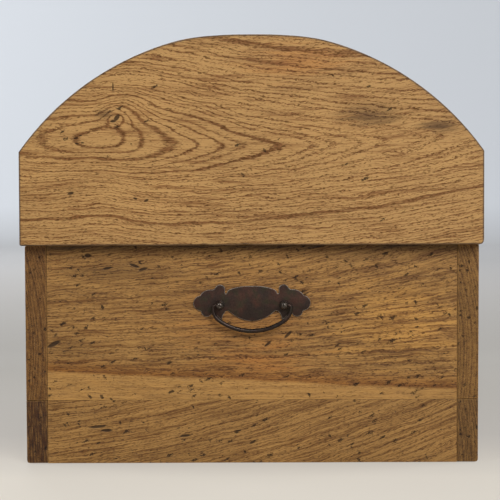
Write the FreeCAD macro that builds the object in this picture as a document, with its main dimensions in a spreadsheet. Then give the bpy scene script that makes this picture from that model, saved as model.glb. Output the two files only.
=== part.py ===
"""Oak ark chest: a boarded box with a coopered, arched lid and a drop handle on each end.

Frame, in millimetres: +Z up, X along the chest, Y across it. The front wall is at -Y and the hinges
are at +Y. The origin is the middle of the chest's footprint on the floor.
"""
import FreeCAD, Part
import math
import os
import Sketcher
from FreeCAD import Placement, Rotation, Vector

doc = FreeCAD.newDocument("ArkChest")

# ---------------------------------------------------------------- driving dimensions

DRIVING = {
    # box
    "body_length": 1000,
    "body_depth": 494,
    "body_height": 238,
    "wall_thickness": 24,
    "end_thickness": 24,
    "lower_board_height": 69,
    "arris": 1.2,
    "floor_thickness": 14,
    "floor_play": 0.5,
    "tongue_depth": 5,
    "tongue_thickness": 4.6,
    "groove_play": 0.2,
    "cleat_size": 20,
    "wall_peg_radius": 4,
    "wall_peg_length": 52,
    # lid
    "lid_end_overhang": 20,
    "lid_overhang": 3,
    "lid_gap": 0.3,
    "rim_height": 101,
    "rim_thickness": 24,
    "arch_rise": 125,
    "flat_top_width": 97,
    "stave_thickness": 18,
    "glue_gap": 0.1,
    "lid_end_thickness": 24,
    "stave_lap": 12,
    "back_corner_radius": 5,
    "rib_width": 24,
    "rib_depth": 40,
    "rib_foot_height": 60,
    "lid_peg_radius": 3,
    "lid_peg_length": 36,
    "rim_peg_pitch": 24,
    # drop handles
    "handle_height": 173,
    "post_spacing": 70,
    "post_reach": 10,
    "collar_radius": 5.2,
    "collar_height": 1.6,
    "ball_radius": 4.4,
    "ball_band": 3.8,
    "ball_under_bevel": 1.3,
    "ball_top_bevel": 1.9,
    "shank_radius": 2.4,
    "shank_play": 0.2,
    "bail_radius": 2.4,
    "bail_width": 84.8,
    "bail_drop": 28.2,
    "bail_arm": 3.5,
    "bail_corner_radius": 16,
    "bail_pin_radius": 1.7,
    "bail_pin_overrun": 1.2,
    "running_clearance": 0.05,
    "plate_length": 128,
    "plate_thickness": 2,
    "centre_lobe_half_width": 29,
    "centre_lobe_half_height": 19.2,
    "centre_lobe_lift": 1,
    "ear_radius": 6.2,
    "ear_lift": 16,
    "shoulder_radius": 9.5,
    "shoulder_lift": 7,
    "shoulder_inset": 17,
    "tip_radius": 8.2,
    "tip_lift": 1.8,
    "lower_lobe_radius": 6.2,
    "lower_lobe_drop": 6,
    "lower_lobe_inset": 16,
    "web_top": 12,
    "web_bottom": 7.5,
    "point_drop": 18,
    "point_half_width": 6.2,
    "washer_radius": 9,
    "washer_thickness": 1.2,
    "nut_radius": 6.4,
    "nut_thickness": 4,
    "shank_overrun": 1.5,
    # hinges
    "hinge_spacing": 600,
    "hinge_width": 70,
    "knuckle_gap": 0.4,
    "leaf_thickness": 3,
    "barrel_radius": 5,
    "barrel_clearance": 0.3,
    "neck_height": 4,
    "hinge_pin_radius": 3,
    "pin_head_radius": 4.6,
    "pin_head_height": 2.4,
    "wall_leaf_height": 58,
    "lid_leaf_height": 70,
    "leaf_corner_radius": 14,
    "nail_width": 4,
    "nail_length": 24,
    "nail_head_width": 10,
    "nail_head_flat": 3,
    "nail_head_height": 2,
    "nail_side_inset": 14,
    "nail_row_inset": 19,
    "nail_tip_inset": 14,
}

# Values worked out from the driving dimensions, as sheet formulas. `D.` stands for the driving sheet.
WORKED = {
    # box
    "end_face": "D.body_length / 2",
    "end_inside": "D.body_length / 2 - D.end_thickness",
    "wall_face": "D.body_depth / 2",
    "wall_inside": "D.body_depth / 2 - D.wall_thickness",
    # arch of the lid: a circle through the rim's top corners and the edges of the flat top
    "lid_bottom": "D.body_height + D.lid_gap",
    "lid_face": "D.body_depth / 2 + D.lid_overhang",
    "rim_inside": "lid_face - D.rim_thickness",
    "lid_end_face": "D.body_length / 2 + D.lid_end_overhang",
    "rim_top": "lid_bottom + D.rim_height",
    "lid_top": "rim_top + D.arch_rise",
    "half_flat": "D.flat_top_width / 2",
    "flat_drop": "(lid_face ^ 2 - half_flat ^ 2 + D.arch_rise ^ 2) / (2 * D.arch_rise)",
    "arch_radius": "sqrt(flat_drop ^ 2 + half_flat ^ 2)",
    "arch_centre": "lid_top - flat_drop",
    "flat_angle": "asin(half_flat / arch_radius)",
    "spring_angle": "asin(lid_face / arch_radius)",
    "stave_angle": "(spring_angle - flat_angle) / 3",
    "stave_inside": "arch_radius - D.stave_thickness",
    "rim_inner_top": "arch_centre + (rim_top - arch_centre) * rim_inside / lid_face",
    "stave_half_length": "lid_end_face - D.lid_end_thickness + D.stave_lap",
    # seat of the staves on the end boards and the rib
    "seat_radius": "stave_inside - D.glue_gap",
    "seat_flat_drop": "flat_drop - D.stave_thickness - D.glue_gap",
    "rib_inside_radius": "seat_radius - D.rib_depth",
    "rib_foot": "lid_bottom + D.rib_foot_height",
    "rib_foot_inside": "sqrt(rib_inside_radius ^ 2 - (rib_foot - arch_centre) ^ 2)",
    # handles: the ball's band, then the bail, a wide bow tangent to a round corner at each arm
    "band_radius": "sqrt(D.ball_radius ^ 2 - (D.ball_band / 2) ^ 2)",
    "half_bail": "D.bail_width / 2",
    "corner_reach": "half_bail - D.bail_corner_radius",
    "bow_fall": "D.bail_drop - D.bail_arm",
    "bow_radius": "(corner_reach ^ 2 + bow_fall ^ 2 - D.bail_corner_radius ^ 2)"
                  " / (2 * (bow_fall - D.bail_corner_radius))",
    "bow_centre": "bow_radius - D.bail_drop",
    "bow_share": "bow_radius / (bow_radius - D.bail_corner_radius)",
    "bow_end_x": "corner_reach * bow_share",
    "bow_end_y": "bow_centre - (bow_centre + D.bail_arm) * bow_share",
    # hinges
    "pivot_y": "lid_face + D.barrel_clearance + D.barrel_radius",
    "pivot_z": "D.body_height + D.lid_gap / 2",
}

FLOOR_BOARDS = 4
STAVES_PER_SIDE = 3
KNUCKLES = 3
PEG_SIDES = 4
BAIL_SIDES = 8
HEAD_SIDES = 12
PIN_HEAD_SIDES = 8
TOUCH = 0.001
RIGHT, LEFT = 1, -1
BACK, FRONT = 1, -1
END_NAMES = {RIGHT: "right", LEFT: "left"}
WALL_NAMES = {BACK: "back", FRONT: "front"}


def bound(text):
    """Write the short sheet prefixes D. (driving) and W. (worked out) in full."""
    return text.replace("D.", "Driving.").replace("W.", "Worked.")


def fill_sheet(name, rows):
    """Write one spreadsheet: names in column A, values in column B with the name as their alias."""
    sheet = doc.addObject("Spreadsheet::Sheet", name)
    for row, (alias, content) in enumerate(rows.items(), start=1):
        sheet.set(f"A{row}", alias)
        sheet.set(f"B{row}", content)
        sheet.setAlias(f"B{row}", alias)
    doc.recompute()
    return sheet


fill_sheet("Driving", {alias: str(size) for alias, size in DRIVING.items()})
worked = fill_sheet("Worked", {alias: "=" + bound(text) for alias, text in WORKED.items()})


def present(text):
    """The present number of an expression."""
    result = worked.evalExpression(bound(text))
    return float(getattr(result, "Value", result))


# ---------------------------------------------------------------- modelling helpers

ALONG_X = Rotation(Vector(0, 1, 0), 90)
ALONG_Y = Rotation(Vector(1, 0, 0), -90)
# Handle parts are drawn with X across the handle, Y up and Z out of the chest's end.
HANDLE_TURN = {
    RIGHT: Rotation(Vector(0, 1, 0), Vector(0, 0, 1), Vector(1, 0, 0), "ZXY"),
    LEFT: Rotation(Vector(0, -1, 0), Vector(0, 0, 1), Vector(-1, 0, 0), "ZXY"),
}
nodes = []


def node(label, thing):
    """Give a finished sub-part its label, which also names its file."""
    thing.Label = label
    nodes.append(thing)
    return thing


def new_body(label):
    return doc.addObject("PartDesign::Body", label + "_body")


def attached_sketch(body, name, role):
    """An empty sketch on one of the body's own origin planes."""
    sketch = body.newObject("Sketcher::SketchObject", name)
    plane = next(feature for feature in body.Origin.OriginFeatures if feature.Role == role)
    sketch.AttachmentSupport = (plane, "")
    sketch.MapMode = "FlatFace"
    return sketch


def bind_constraint(sketch, kind, *where, size):
    """Add one dimension to a sketch and bind it to an expression."""
    index = sketch.addConstraint(Sketcher.Constraint(kind, *where, present(size)))
    sketch.setExpression(f"Constraints[{index}]", bound(size))


def arc_between(start, finish, radius):
    """The short arc between two points. A positive radius runs anticlockwise, a negative one clockwise."""
    chord = finish - start
    left = Vector(-chord.y, chord.x, 0).normalize()
    reach = math.sqrt(radius ** 2 - (chord.Length / 2) ** 2)
    centre = (start + finish) / 2 + left * math.copysign(reach, radius)
    first, last = (start, finish) if radius > 0 else (finish, start)
    angles = [math.atan2(point.y - centre.y, point.x - centre.x) for point in (first, last)]
    return Part.ArcOfCircle(Part.Circle(centre, Vector(0, 0, 1), abs(radius)), *angles)


def outline(body, name, role, corners, arcs=None, closed=True):
    """A sketched outline through corners whose two coordinates are expressions.

    `arcs` gives the radius of each round side: side number i runs from corner i to the next.
    """
    arcs = arcs or {}
    sketch = attached_sketch(body, name, role)
    points = [Vector(present(u), present(v), 0) for u, v in corners]
    sides = len(points) if closed else len(points) - 1
    start_point, end_point = {}, {}
    for i in range(sides):
        start, finish = points[i], points[(i + 1) % len(points)]
        radius = present(arcs[i]) if i in arcs else 0
        side = arc_between(start, finish, radius) if radius else Part.LineSegment(start, finish)
        sketch.addGeometry(side, False)
        start_point[i], end_point[i] = (2, 1) if radius < 0 else (1, 2)
    for i in range(sides if closed else sides - 1):
        following = (i + 1) % sides
        sketch.addConstraint(
            Sketcher.Constraint("Coincident", i, end_point[i], following, start_point[following]))
    for i, (u, v) in enumerate(corners):
        held = (i, start_point[i]) if i < sides else (sides - 1, end_point[sides - 1])
        bind_constraint(sketch, "DistanceX", -1, 1, *held, size=u)
        bind_constraint(sketch, "DistanceY", -1, 1, *held, size=v)
    for i, radius in arcs.items():
        bind_constraint(sketch, "Radius", i, size=f"abs({radius})")
    return sketch


def rectangle(body, name, role, low_u, high_u, low_v, high_v):
    corners = [(low_u, low_v), (high_u, low_v), (high_u, high_v), (low_u, high_v)]
    return outline(body, name, role, corners)


def pad(body, sketch, length, side="Symmetric", backwards=False):
    """Extrude a sketch: both ways from its plane, or one way, along or against its normal."""
    feature = body.newObject("PartDesign::Pad", sketch.Name + "_pad")
    feature.Profile = sketch
    feature.SideType = side
    feature.Reversed = backwards
    feature.setExpression("Length", bound(length))
    doc.recompute()
    return feature


def move(thing, x="0", y="0", z="0", turn=None):
    """Place an object: its turn is fixed and its three distances are expressions."""
    thing.Placement = Placement(Vector(present(x), present(y), present(z)), turn or Rotation())
    for axis, text in (("x", x), ("y", y), ("z", z)):
        thing.setExpression(f".Placement.Base.{axis}", bound(text))
    return thing


def bevel_edges(body, size, test):
    """Take a small bevel off the edges whose ends both pass the test."""
    base = body.Tip
    picked = [f"Edge{number}" for number, edge in enumerate(base.Shape.Edges, start=1)
              if all(test(vertex.Point) for vertex in edge.Vertexes)]
    if not picked:
        raise RuntimeError(f"no edge to bevel on {body.Name}")
    feature = body.newObject("PartDesign::Chamfer", body.Name + "_bevel")
    feature.Base = (base, picked)
    feature.setExpression("Size", bound(size))
    doc.recompute()
    return feature


def near(number, text):
    return abs(number - present(text)) < TOUCH


def cylinder(name, radius, height, x="0", y="0", z="0", turn=None):
    rod = doc.addObject("Part::Cylinder", name)
    rod.setExpression("Radius", bound(radius))
    rod.setExpression("Height", bound(height))
    return move(rod, x, y, z, turn)


def prism(name, sides, radius, height, x="0", y="0", z="0", turn=None):
    """A bar with flat sides, such as a riven peg or a square nut. The radius is to its corners."""
    bar = doc.addObject("Part::Prism", name)
    bar.Polygon = sides
    bar.setExpression("Circumradius", bound(radius))
    bar.setExpression("Height", bound(height))
    flat_side_down = Rotation(Vector(0, 0, 1), 180 / sides)
    return move(bar, x, y, z, (turn or Rotation()) * flat_side_down)


def block(name, length, width, height, x, y, z):
    box = doc.addObject("Part::Box", name)
    for side, text in (("Length", length), ("Width", width), ("Height", height)):
        box.setExpression(side, bound(text))
    return move(box, x, y, z)


def group(name, solids):
    """Several like solids as one object."""
    compound = doc.addObject("Part::Compound", name)
    compound.Links = solids
    return compound


def cut(name, base, tool):
    feature = doc.addObject("Part::Cut", name)
    feature.Base = base
    feature.Tool = tool
    return feature


def fuse(name, shapes):
    feature = doc.addObject("Part::MultiFuse", name)
    feature.Shapes = shapes
    feature.Refine = True
    return feature


def on_arch(radius, angle, side=BACK):
    """Corner on a circle round the arch's centre, at an angle from the top towards one side."""
    return f"{side} * {radius} * sin({angle})", f"W.arch_centre + {radius} * cos({angle})"


# ---------------------------------------------------------------- wooden pegs

def wall_pegs(side):
    """Pegs through one long wall into the edges of the end boards, four at each corner."""
    upper = "(D.body_height - D.lower_board_height)"
    heights = ["D.lower_board_height / 2"]
    heights += [f"D.lower_board_height + {upper} * {step} / 6" for step in (1, 3, 5)]
    pegs = []
    for end in (LEFT, RIGHT):
        for number, height in enumerate(heights):
            name = f"{WALL_NAMES[side]}_{END_NAMES[end]}_peg_{number}"
            inner = f"{side} * (W.wall_face - D.wall_peg_length)" if side == BACK else "-W.wall_face"
            pegs.append(prism(name, PEG_SIDES, "D.wall_peg_radius", "D.wall_peg_length",
                              f"{end} * (W.end_face - D.end_thickness / 2)", inner, height, ALONG_Y))
    return group(f"{WALL_NAMES[side]}_wall_pegs", pegs)


def lid_pegs():
    """Pegs through each stave and rim into the end boards, and through each stave into the rib."""
    at_ends = "(W.stave_half_length - D.stave_lap / 2)"
    pegs = []
    for place, x in (("left", f"-{at_ends}"), ("middle", "0"), ("right", at_ends)):
        pegs.append(prism(f"{place}_top_peg", PEG_SIDES, "D.lid_peg_radius", "D.lid_peg_length",
                          x, "0", "W.lid_top - D.lid_peg_length"))
        for side in (FRONT, BACK):
            for step in range(STAVES_PER_SIDE):
                angle = f"(W.flat_angle + W.stave_angle * {step + 0.5})"
                foot = "(W.arch_radius - D.lid_peg_length)"
                pegs.append(prism(
                    f"{place}_{WALL_NAMES[side]}_peg_{step}", PEG_SIDES, "D.lid_peg_radius",
                    "D.lid_peg_length", x, *on_arch(foot, angle, side),
                    Rotation(Vector(1, 0, 0), -side * present(angle))))
            if place == "middle":
                continue
            inner = "W.lid_face - D.lid_peg_length" if side == BACK else "-W.lid_face"
            for step in (1, 3):
                pegs.append(prism(
                    f"{place}_{WALL_NAMES[side]}_rim_peg_{step}", PEG_SIDES, "D.lid_peg_radius",
                    "D.lid_peg_length", x, inner, f"W.lid_bottom + D.rim_peg_pitch * {step}", ALONG_Y))
    return group("lid_peg_set", pegs)


# ---------------------------------------------------------------- nails

def nail_head(name):
    """A hammered rose head: a square that slopes up to a small flat."""
    head = doc.addObject("Part::Wedge", name)
    sizes = {"Ymin": "0", "Ymax": "D.nail_head_height"}
    for axis in "XZ":
        for side, sign in (("min", "-"), ("max", "")):
            sizes[f"{axis}{side}"] = f"{sign}D.nail_head_width / 2"
            sizes[f"{axis}2{side}"] = f"{sign}D.nail_head_flat / 2"
    for side, size in sizes.items():
        setattr(head, side, present(size))
        head.setExpression(side, bound(size))
    return head


def nails(name, face, heights):
    """Forged nails driven into the back: for each leaf a pair near the pin and one near the tip."""
    row, tip = heights
    solids = []
    for hinge in (LEFT, RIGHT):
        centre = f"{hinge} * D.hinge_spacing / 2"
        side = "(D.hinge_width / 2 - D.nail_side_inset)"
        places = [(f"{centre} - {side}", row), (f"{centre} + {side}", row), (centre, tip)]
        for number, (x, z) in enumerate(places):
            label = f"{name}_{END_NAMES[hinge]}_{number}"
            shank = block(label + "_shank", "D.nail_width", "D.nail_length", "D.nail_width",
                          f"{x} - D.nail_width / 2", f"{face} - D.nail_length", f"{z} - D.nail_width / 2")
            solids.append(fuse(label, [shank, move(nail_head(label + "_head"), x, face, z)]))
    return group(name, solids)


# ---------------------------------------------------------------- box

def wall_board(label, side, low, high, tool):
    """One board of a long wall, running the whole length, bored for its fixings."""
    body = new_body(label)
    face, inside = f"{side} * W.wall_face", f"{side} * W.wall_inside"
    pad(body, rectangle(body, label + "_section", "YZ_Plane", face, inside, low, high), "D.body_length")
    bevel_edges(body, "D.arris", lambda point: near(point.y, face) and near(abs(point.x), "W.end_face"))
    return node(label, cut(label + "_bored", body, tool))


def end_board(label, end, low, high, tool):
    """One board of an end panel, standing between the two long walls."""
    body = new_body(label)
    section = rectangle(body, label + "_section", "YZ_Plane", "-W.wall_inside", "W.wall_inside", low, high)
    pad(body, section, "D.end_thickness")
    move(body, f"{end} * (W.end_face - D.end_thickness / 2)")
    return node(label, cut(label + "_bored", body, tool))


def floor_board(number):
    """A bottom board: tongue on its back edge, groove in its front edge, plain at the walls."""
    label = f"floor_board_{number + 1}"
    width = f"((2 * W.wall_inside - D.floor_play) / {FLOOR_BOARDS})"
    low_y = f"-W.wall_inside + D.floor_play / 2 + {width} * {number}"
    high_y = f"{low_y} + {width}"
    low_z, high_z = "D.cleat_size", "D.cleat_size + D.floor_thickness"
    middle = "D.cleat_size + D.floor_thickness / 2"
    corners = [(low_y, low_z), (high_y, low_z)]
    if number < FLOOR_BOARDS - 1:
        reach = f"{high_y} + D.tongue_depth"
        half = "D.tongue_thickness / 2"
        corners += [(high_y, f"{middle} - {half}"), (reach, f"{middle} - {half}"),
                    (reach, f"{middle} + {half}"), (high_y, f"{middle} + {half}")]
    corners += [(high_y, high_z), (low_y, high_z)]
    if number > 0:
        reach = f"{low_y} + D.tongue_depth + D.groove_play"
        half = "(D.tongue_thickness / 2 + D.groove_play / 2)"
        corners += [(low_y, f"{middle} + {half}"), (reach, f"{middle} + {half}"),
                    (reach, f"{middle} - {half}"), (low_y, f"{middle} - {half}")]
    body = new_body(label)
    pad(body, outline(body, label + "_section", "YZ_Plane", corners), "2 * W.end_inside - D.floor_play")
    return node(label, body)


def cleats():
    """Square battens that carry the floor: along both walls, and across at the ends and the middle."""
    size = "D.cleat_size"
    across = "2 * (W.wall_inside - D.cleat_size)"
    for side in (FRONT, BACK):
        y = "W.wall_inside - D.cleat_size" if side == BACK else "-W.wall_inside"
        label = f"cleat_{WALL_NAMES[side]}"
        node(label, block(label + "_block", "2 * W.end_inside", size, size, "-W.end_inside", y, "0"))
    for place, x in (("left", "-W.end_inside"), ("middle", "-D.cleat_size / 2"),
                     ("right", "W.end_inside - D.cleat_size")):
        label = f"cleat_{place}"
        node(label, block(label + "_block", size, across, size, x, "D.cleat_size - W.wall_inside", "0"))


# ---------------------------------------------------------------- lid

def seat_corners(foot):
    """Under side of the staves and the bevelled rims, from the back foot over the top to the front foot."""
    flat_y = "W.half_flat * W.seat_flat_drop / W.flat_drop"
    flat_z = "W.arch_centre + W.seat_flat_drop"
    back = [("W.rim_inside", foot), ("W.rim_inside", "W.rim_inner_top"),
            on_arch("W.seat_radius", "W.spring_angle"), (flat_y, flat_z)]
    front = [(f"-1 * {y}", z) for y, z in reversed(back)]
    return back + front


def lid_end(end, tool):
    """An arched end board: the full outline outside, a smaller raised panel inside that seats the staves."""
    label = f"lid_end_{END_NAMES[end]}"
    body = new_body(label)
    inward = end == RIGHT
    panel = outline(body, label + "_panel", "YZ_Plane", seat_corners("W.lid_bottom"),
                    {2: "W.seat_radius", 4: "W.seat_radius"})
    pad(body, panel, "D.lid_end_thickness", "One side", inward)
    face = [("-W.lid_face", "W.lid_bottom"), ("W.lid_face - D.back_corner_radius", "W.lid_bottom"),
            ("W.lid_face", "W.lid_bottom + D.back_corner_radius"), ("W.lid_face", "W.rim_top"),
            ("W.half_flat", "W.lid_top"), ("-W.half_flat", "W.lid_top"), ("-W.lid_face", "W.rim_top")]
    rounds = {1: "D.back_corner_radius", 3: "W.arch_radius", 5: "W.arch_radius"}
    pad(body, outline(body, label + "_face", "YZ_Plane", face, rounds),
        "D.lid_end_thickness - D.stave_lap", "One side", inward)
    on_curve = present("W.rim_top") - TOUCH
    bevel_edges(body, "D.arris", lambda point: near(point.x, "0") and point.z > on_curve)
    move(body, f"{end} * W.lid_end_face")
    return node(label, cut(label + "_bored", body, tool))


def lid_rim(side, tool):
    """A straight rim board whose top edge is bevelled to carry the lowest stave."""
    label = f"lid_rim_{WALL_NAMES[side]}"
    body = new_body(label)
    corners = [(f"{side} * W.lid_face", "W.lid_bottom"), (f"{side} * W.lid_face", "W.rim_top"),
               (f"{side} * W.rim_inside", "W.rim_inner_top"), (f"{side} * W.rim_inside", "W.lid_bottom")]
    pad(body, outline(body, label + "_section", "YZ_Plane", corners), "2 * W.stave_half_length")
    return node(label, cut(label + "_bored", body, tool))


def top_stave(tool):
    """The flat stave along the crown, with both edges bevelled towards the arch's centre."""
    body = new_body("lid_stave_top")
    inner_y = "W.half_flat * (W.flat_drop - D.stave_thickness) / W.flat_drop"
    inner_z = "W.lid_top - D.stave_thickness"
    corners = [("W.half_flat", "W.lid_top"), ("-W.half_flat", "W.lid_top"),
               (f"-1 * {inner_y}", inner_z), (inner_y, inner_z)]
    pad(body, outline(body, "lid_stave_top_section", "YZ_Plane", corners), "2 * W.stave_half_length")
    return node("lid_stave_top", cut("lid_stave_top_bored", body, tool))


def side_stave(side, step, tool):
    """A coopered stave: edges bevelled towards the arch's centre, faces planed to the arch."""
    label = f"lid_stave_{WALL_NAMES[side]}_{STAVES_PER_SIDE - step}"
    upper = f"(W.flat_angle + W.stave_angle * {step})"
    lower = f"(W.flat_angle + W.stave_angle * {step + 1})"
    corners = [on_arch("W.arch_radius", upper, side), on_arch("W.arch_radius", lower, side),
               on_arch("W.stave_inside", lower, side), on_arch("W.stave_inside", upper, side)]
    body = new_body(label)
    rounds = {0: f"{-side} * W.arch_radius", 2: f"{side} * W.stave_inside"}
    pad(body, outline(body, label + "_section", "YZ_Plane", corners, rounds), "2 * W.stave_half_length")
    return node(label, cut(label + "_bored", body, tool))


def lid_rib(tool):
    """An arched rib under the middle of the staves, its feet against the rims."""
    body = new_body("lid_rib")
    corners = seat_corners("W.rib_foot")
    corners += [("-1 * W.rib_foot_inside", "W.rib_foot"), ("W.rib_foot_inside", "W.rib_foot")]
    rounds = {2: "W.seat_radius", 4: "W.seat_radius", 8: "-1 * W.rib_inside_radius"}
    pad(body, outline(body, "lid_rib_section", "YZ_Plane", corners, rounds), "D.rib_width")
    return node("lid_rib", cut("lid_rib_bored", body, tool))


# ---------------------------------------------------------------- drop handles

def both_sides(text):
    return text, f"-1 * ({text})"


def back_plate(label, holes):
    """Scalloped iron plate: a broad oval between two wings of round lobes, each with a point below."""
    lobes = [
        ("ear", "D.ear_radius", "D.post_spacing / 2", "D.ear_lift"),
        ("shoulder", "D.shoulder_radius", "D.plate_length / 2 - D.shoulder_inset", "D.shoulder_lift"),
        ("tip", "D.tip_radius", "D.plate_length / 2 - D.tip_radius", "D.tip_lift"),
        ("lower", "D.lower_lobe_radius", "D.plate_length / 2 - D.lower_lobe_inset", "-D.lower_lobe_drop"),
    ]
    parts = []
    for name, radius, x, y in lobes:
        for number, signed_x in enumerate(both_sides(x)):
            parts.append(cylinder(f"{label}_{name}_{number}", radius, "D.plate_thickness", signed_x, y))
    oval = doc.addObject("Part::Ellipse", label + "_oval")
    oval.setExpression("MajorRadius", bound("D.centre_lobe_half_width"))
    oval.setExpression("MinorRadius", bound("D.centre_lobe_half_height"))
    move(oval, "0", "D.centre_lobe_lift")
    centre = doc.addObject("Part::Extrusion", label + "_centre")
    centre.Base = oval
    centre.DirMode = "Custom"
    centre.Dir = Vector(0, 0, 1)
    centre.Solid = True
    centre.setExpression("LengthFwd", bound("D.plate_thickness"))
    parts.append(centre)
    reach = "(D.plate_length / 2 - D.lower_lobe_inset)"
    parts.append(block(label + "_web", f"2 * {reach}", "D.web_top + D.web_bottom", "D.plate_thickness",
                       f"-1 * {reach}", "-D.web_bottom", "0"))
    for number, middle in enumerate(both_sides("D.post_spacing / 2")):
        wedge = new_body(f"{label}_point_{number}")
        corners = [(f"{middle} - D.point_half_width", "-D.web_bottom / 2"), (middle, "-D.point_drop"),
                   (f"{middle} + D.point_half_width", "-D.web_bottom / 2")]
        pad(wedge, outline(wedge, f"{label}_point_{number}_outline", "XY_Plane", corners),
            "D.plate_thickness", "One side")
        parts.append(wedge)
    return cut(label, fuse(label + "_whole", parts), holes)


def post(label):
    """A forged post: a round rod with a collar that seats on the plate, and a ball head of many flats.

    The head is a short bar of flats, bevelled round both rims and bored through its band for the bail's pin.
    """
    head = new_body(label + "_head")
    angles = [f"{360 / HEAD_SIDES * (corner + 0.5)} deg" for corner in range(HEAD_SIDES)]
    corners = [(f"W.band_radius * cos({angle})", f"W.band_radius * sin({angle})") for angle in angles]
    flats = outline(head, label + "_flats", "XY_Plane", corners)
    under, over = "-1 * (D.ball_band / 2 + D.ball_under_bevel)", "(D.ball_band / 2 + D.ball_top_bevel)"
    flats.setExpression(".AttachmentOffset.Base.z", bound(under))
    pad(head, flats, f"{over} - ({under})", "One side")
    bevel_edges(head, "D.ball_under_bevel", lambda point: near(point.z, under))
    bevel_edges(head, "D.ball_top_bevel", lambda point: near(point.z, over))
    move(head, z="D.post_reach")
    collar = prism(label + "_collar", HEAD_SIDES, "D.collar_radius", "D.collar_height", z="D.plate_thickness")
    behind = "(D.end_thickness + D.washer_thickness + D.nut_thickness + D.shank_overrun)"
    rod = cylinder(label + "_rod", "D.shank_radius", f"{behind} + D.post_reach", z=f"-1 * {behind}")
    eye = cylinder(label + "_eye", "D.bail_pin_radius + D.running_clearance", "4 * D.ball_radius",
                   "-2 * D.ball_radius", "0", "D.post_reach", ALONG_X)
    return cut(label, fuse(label + "_whole", [rod, collar, head]), eye)


def bail(label):
    """The drop bail: a forged bar bent to a wide bow, with a thin pin turned inwards at each end."""
    body = new_body(label)
    path = outline(
        body, label + "_path", "XY_Plane",
        [("-W.half_bail", "D.bail_radius"), ("-W.half_bail", "-D.bail_arm"),
         ("-W.bow_end_x", "W.bow_end_y"), ("W.bow_end_x", "W.bow_end_y"),
         ("W.half_bail", "-D.bail_arm"), ("W.half_bail", "D.bail_radius")],
        {1: "D.bail_corner_radius", 2: "W.bow_radius", 3: "D.bail_corner_radius"}, closed=False)
    angles = [f"{360 / BAIL_SIDES * (corner + 0.5)} deg" for corner in range(BAIL_SIDES)]
    corners = [(f"-W.half_bail + D.bail_radius * cos({angle})", f"D.bail_radius * sin({angle})")
               for angle in angles]
    ring = outline(body, label + "_bar", "XZ_Plane", corners)
    ring.setExpression(".AttachmentOffset.Base.z", bound("-D.bail_radius"))
    pipe = body.newObject("PartDesign::AdditivePipe", label + "_pipe")
    pipe.Profile = ring
    pipe.Spine = (path, [])
    doc.recompute()
    parts = [body]
    pin = "D.bail_pin_overrun + (D.bail_width - D.post_spacing) / 2 + D.ball_radius"
    for number, start in enumerate(("-W.half_bail", f"W.half_bail - ({pin})")):
        parts.append(prism(f"{label}_pin_{number}", BAIL_SIDES, "D.bail_pin_radius", pin, start, turn=ALONG_X))
    return fuse(label, parts)


def on_handle(thing, end, x="0", out="0"):
    """Place a handle part on one end of the chest, `x` across it and `out` from its face."""
    return move(thing, f"{end} * (W.end_face + {out})", f"{end} * ({x})", "D.handle_height",
                HANDLE_TURN[end])


def punched_hole(name, x="0"):
    """A square hole, as punched through hot iron, that clears a post's round shank."""
    return prism(name, 4, "(D.shank_radius + D.shank_play) * sqrt(2)", "2 * D.plate_thickness", x)


def shank_holes():
    """Clearance bores for the posts, right through both end panels."""
    bores = []
    for end in (LEFT, RIGHT):
        for number, y in enumerate(both_sides("D.post_spacing / 2")):
            start = "W.end_inside - D.end_thickness" if end == RIGHT else "-W.end_face - D.end_thickness"
            bores.append(cylinder(f"bore_{END_NAMES[end]}_{number}", "D.shank_radius + D.shank_play",
                                  "3 * D.end_thickness", start, y, "D.handle_height", ALONG_X))
    return group("shank_bores", bores)


def handle(end):
    """Plate, two posts with square washers and nuts inside the chest, and the bail."""
    name = END_NAMES[end] + "_handle"
    holes = [punched_hole(f"{name}_plate_hole_{number}", x)
             for number, x in enumerate(both_sides("D.post_spacing / 2"))]
    plate = back_plate(name + "_backplate", group(name + "_plate_holes", holes))
    node(name + "_plate", on_handle(plate, end))
    washers, nuts = [], []
    for place, x in zip(("front", "back"), both_sides(f"-{end} * D.post_spacing / 2")):
        node(f"{name}_post_{place}", on_handle(post(f"{name}_post_{place}_turned"), end, x))
        washer_out = "-D.end_thickness - D.washer_thickness"
        for kind, solids, out in (("washer", washers, washer_out),
                                  ("nut", nuts, f"{washer_out} - D.nut_thickness")):
            label = f"{name}_{kind}_{place}"
            blank = prism(label + "_blank", 4, f"D.{kind}_radius", f"D.{kind}_thickness")
            if kind == "washer":
                hole = punched_hole(label + "_hole")
            else:
                hole = cylinder(label + "_hole", "D.shank_radius", "D.nut_thickness")
            solids.append(on_handle(cut(label, blank, hole), end, x, out))
    node(name + "_washers", group(name + "_washer_pair", washers))
    node(name + "_nuts", group(name + "_nut_pair", nuts))
    node(name + "_bail", on_handle(bail(name + "_bent_bail"), end, out="D.post_reach"))


# ---------------------------------------------------------------- hinges

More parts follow.
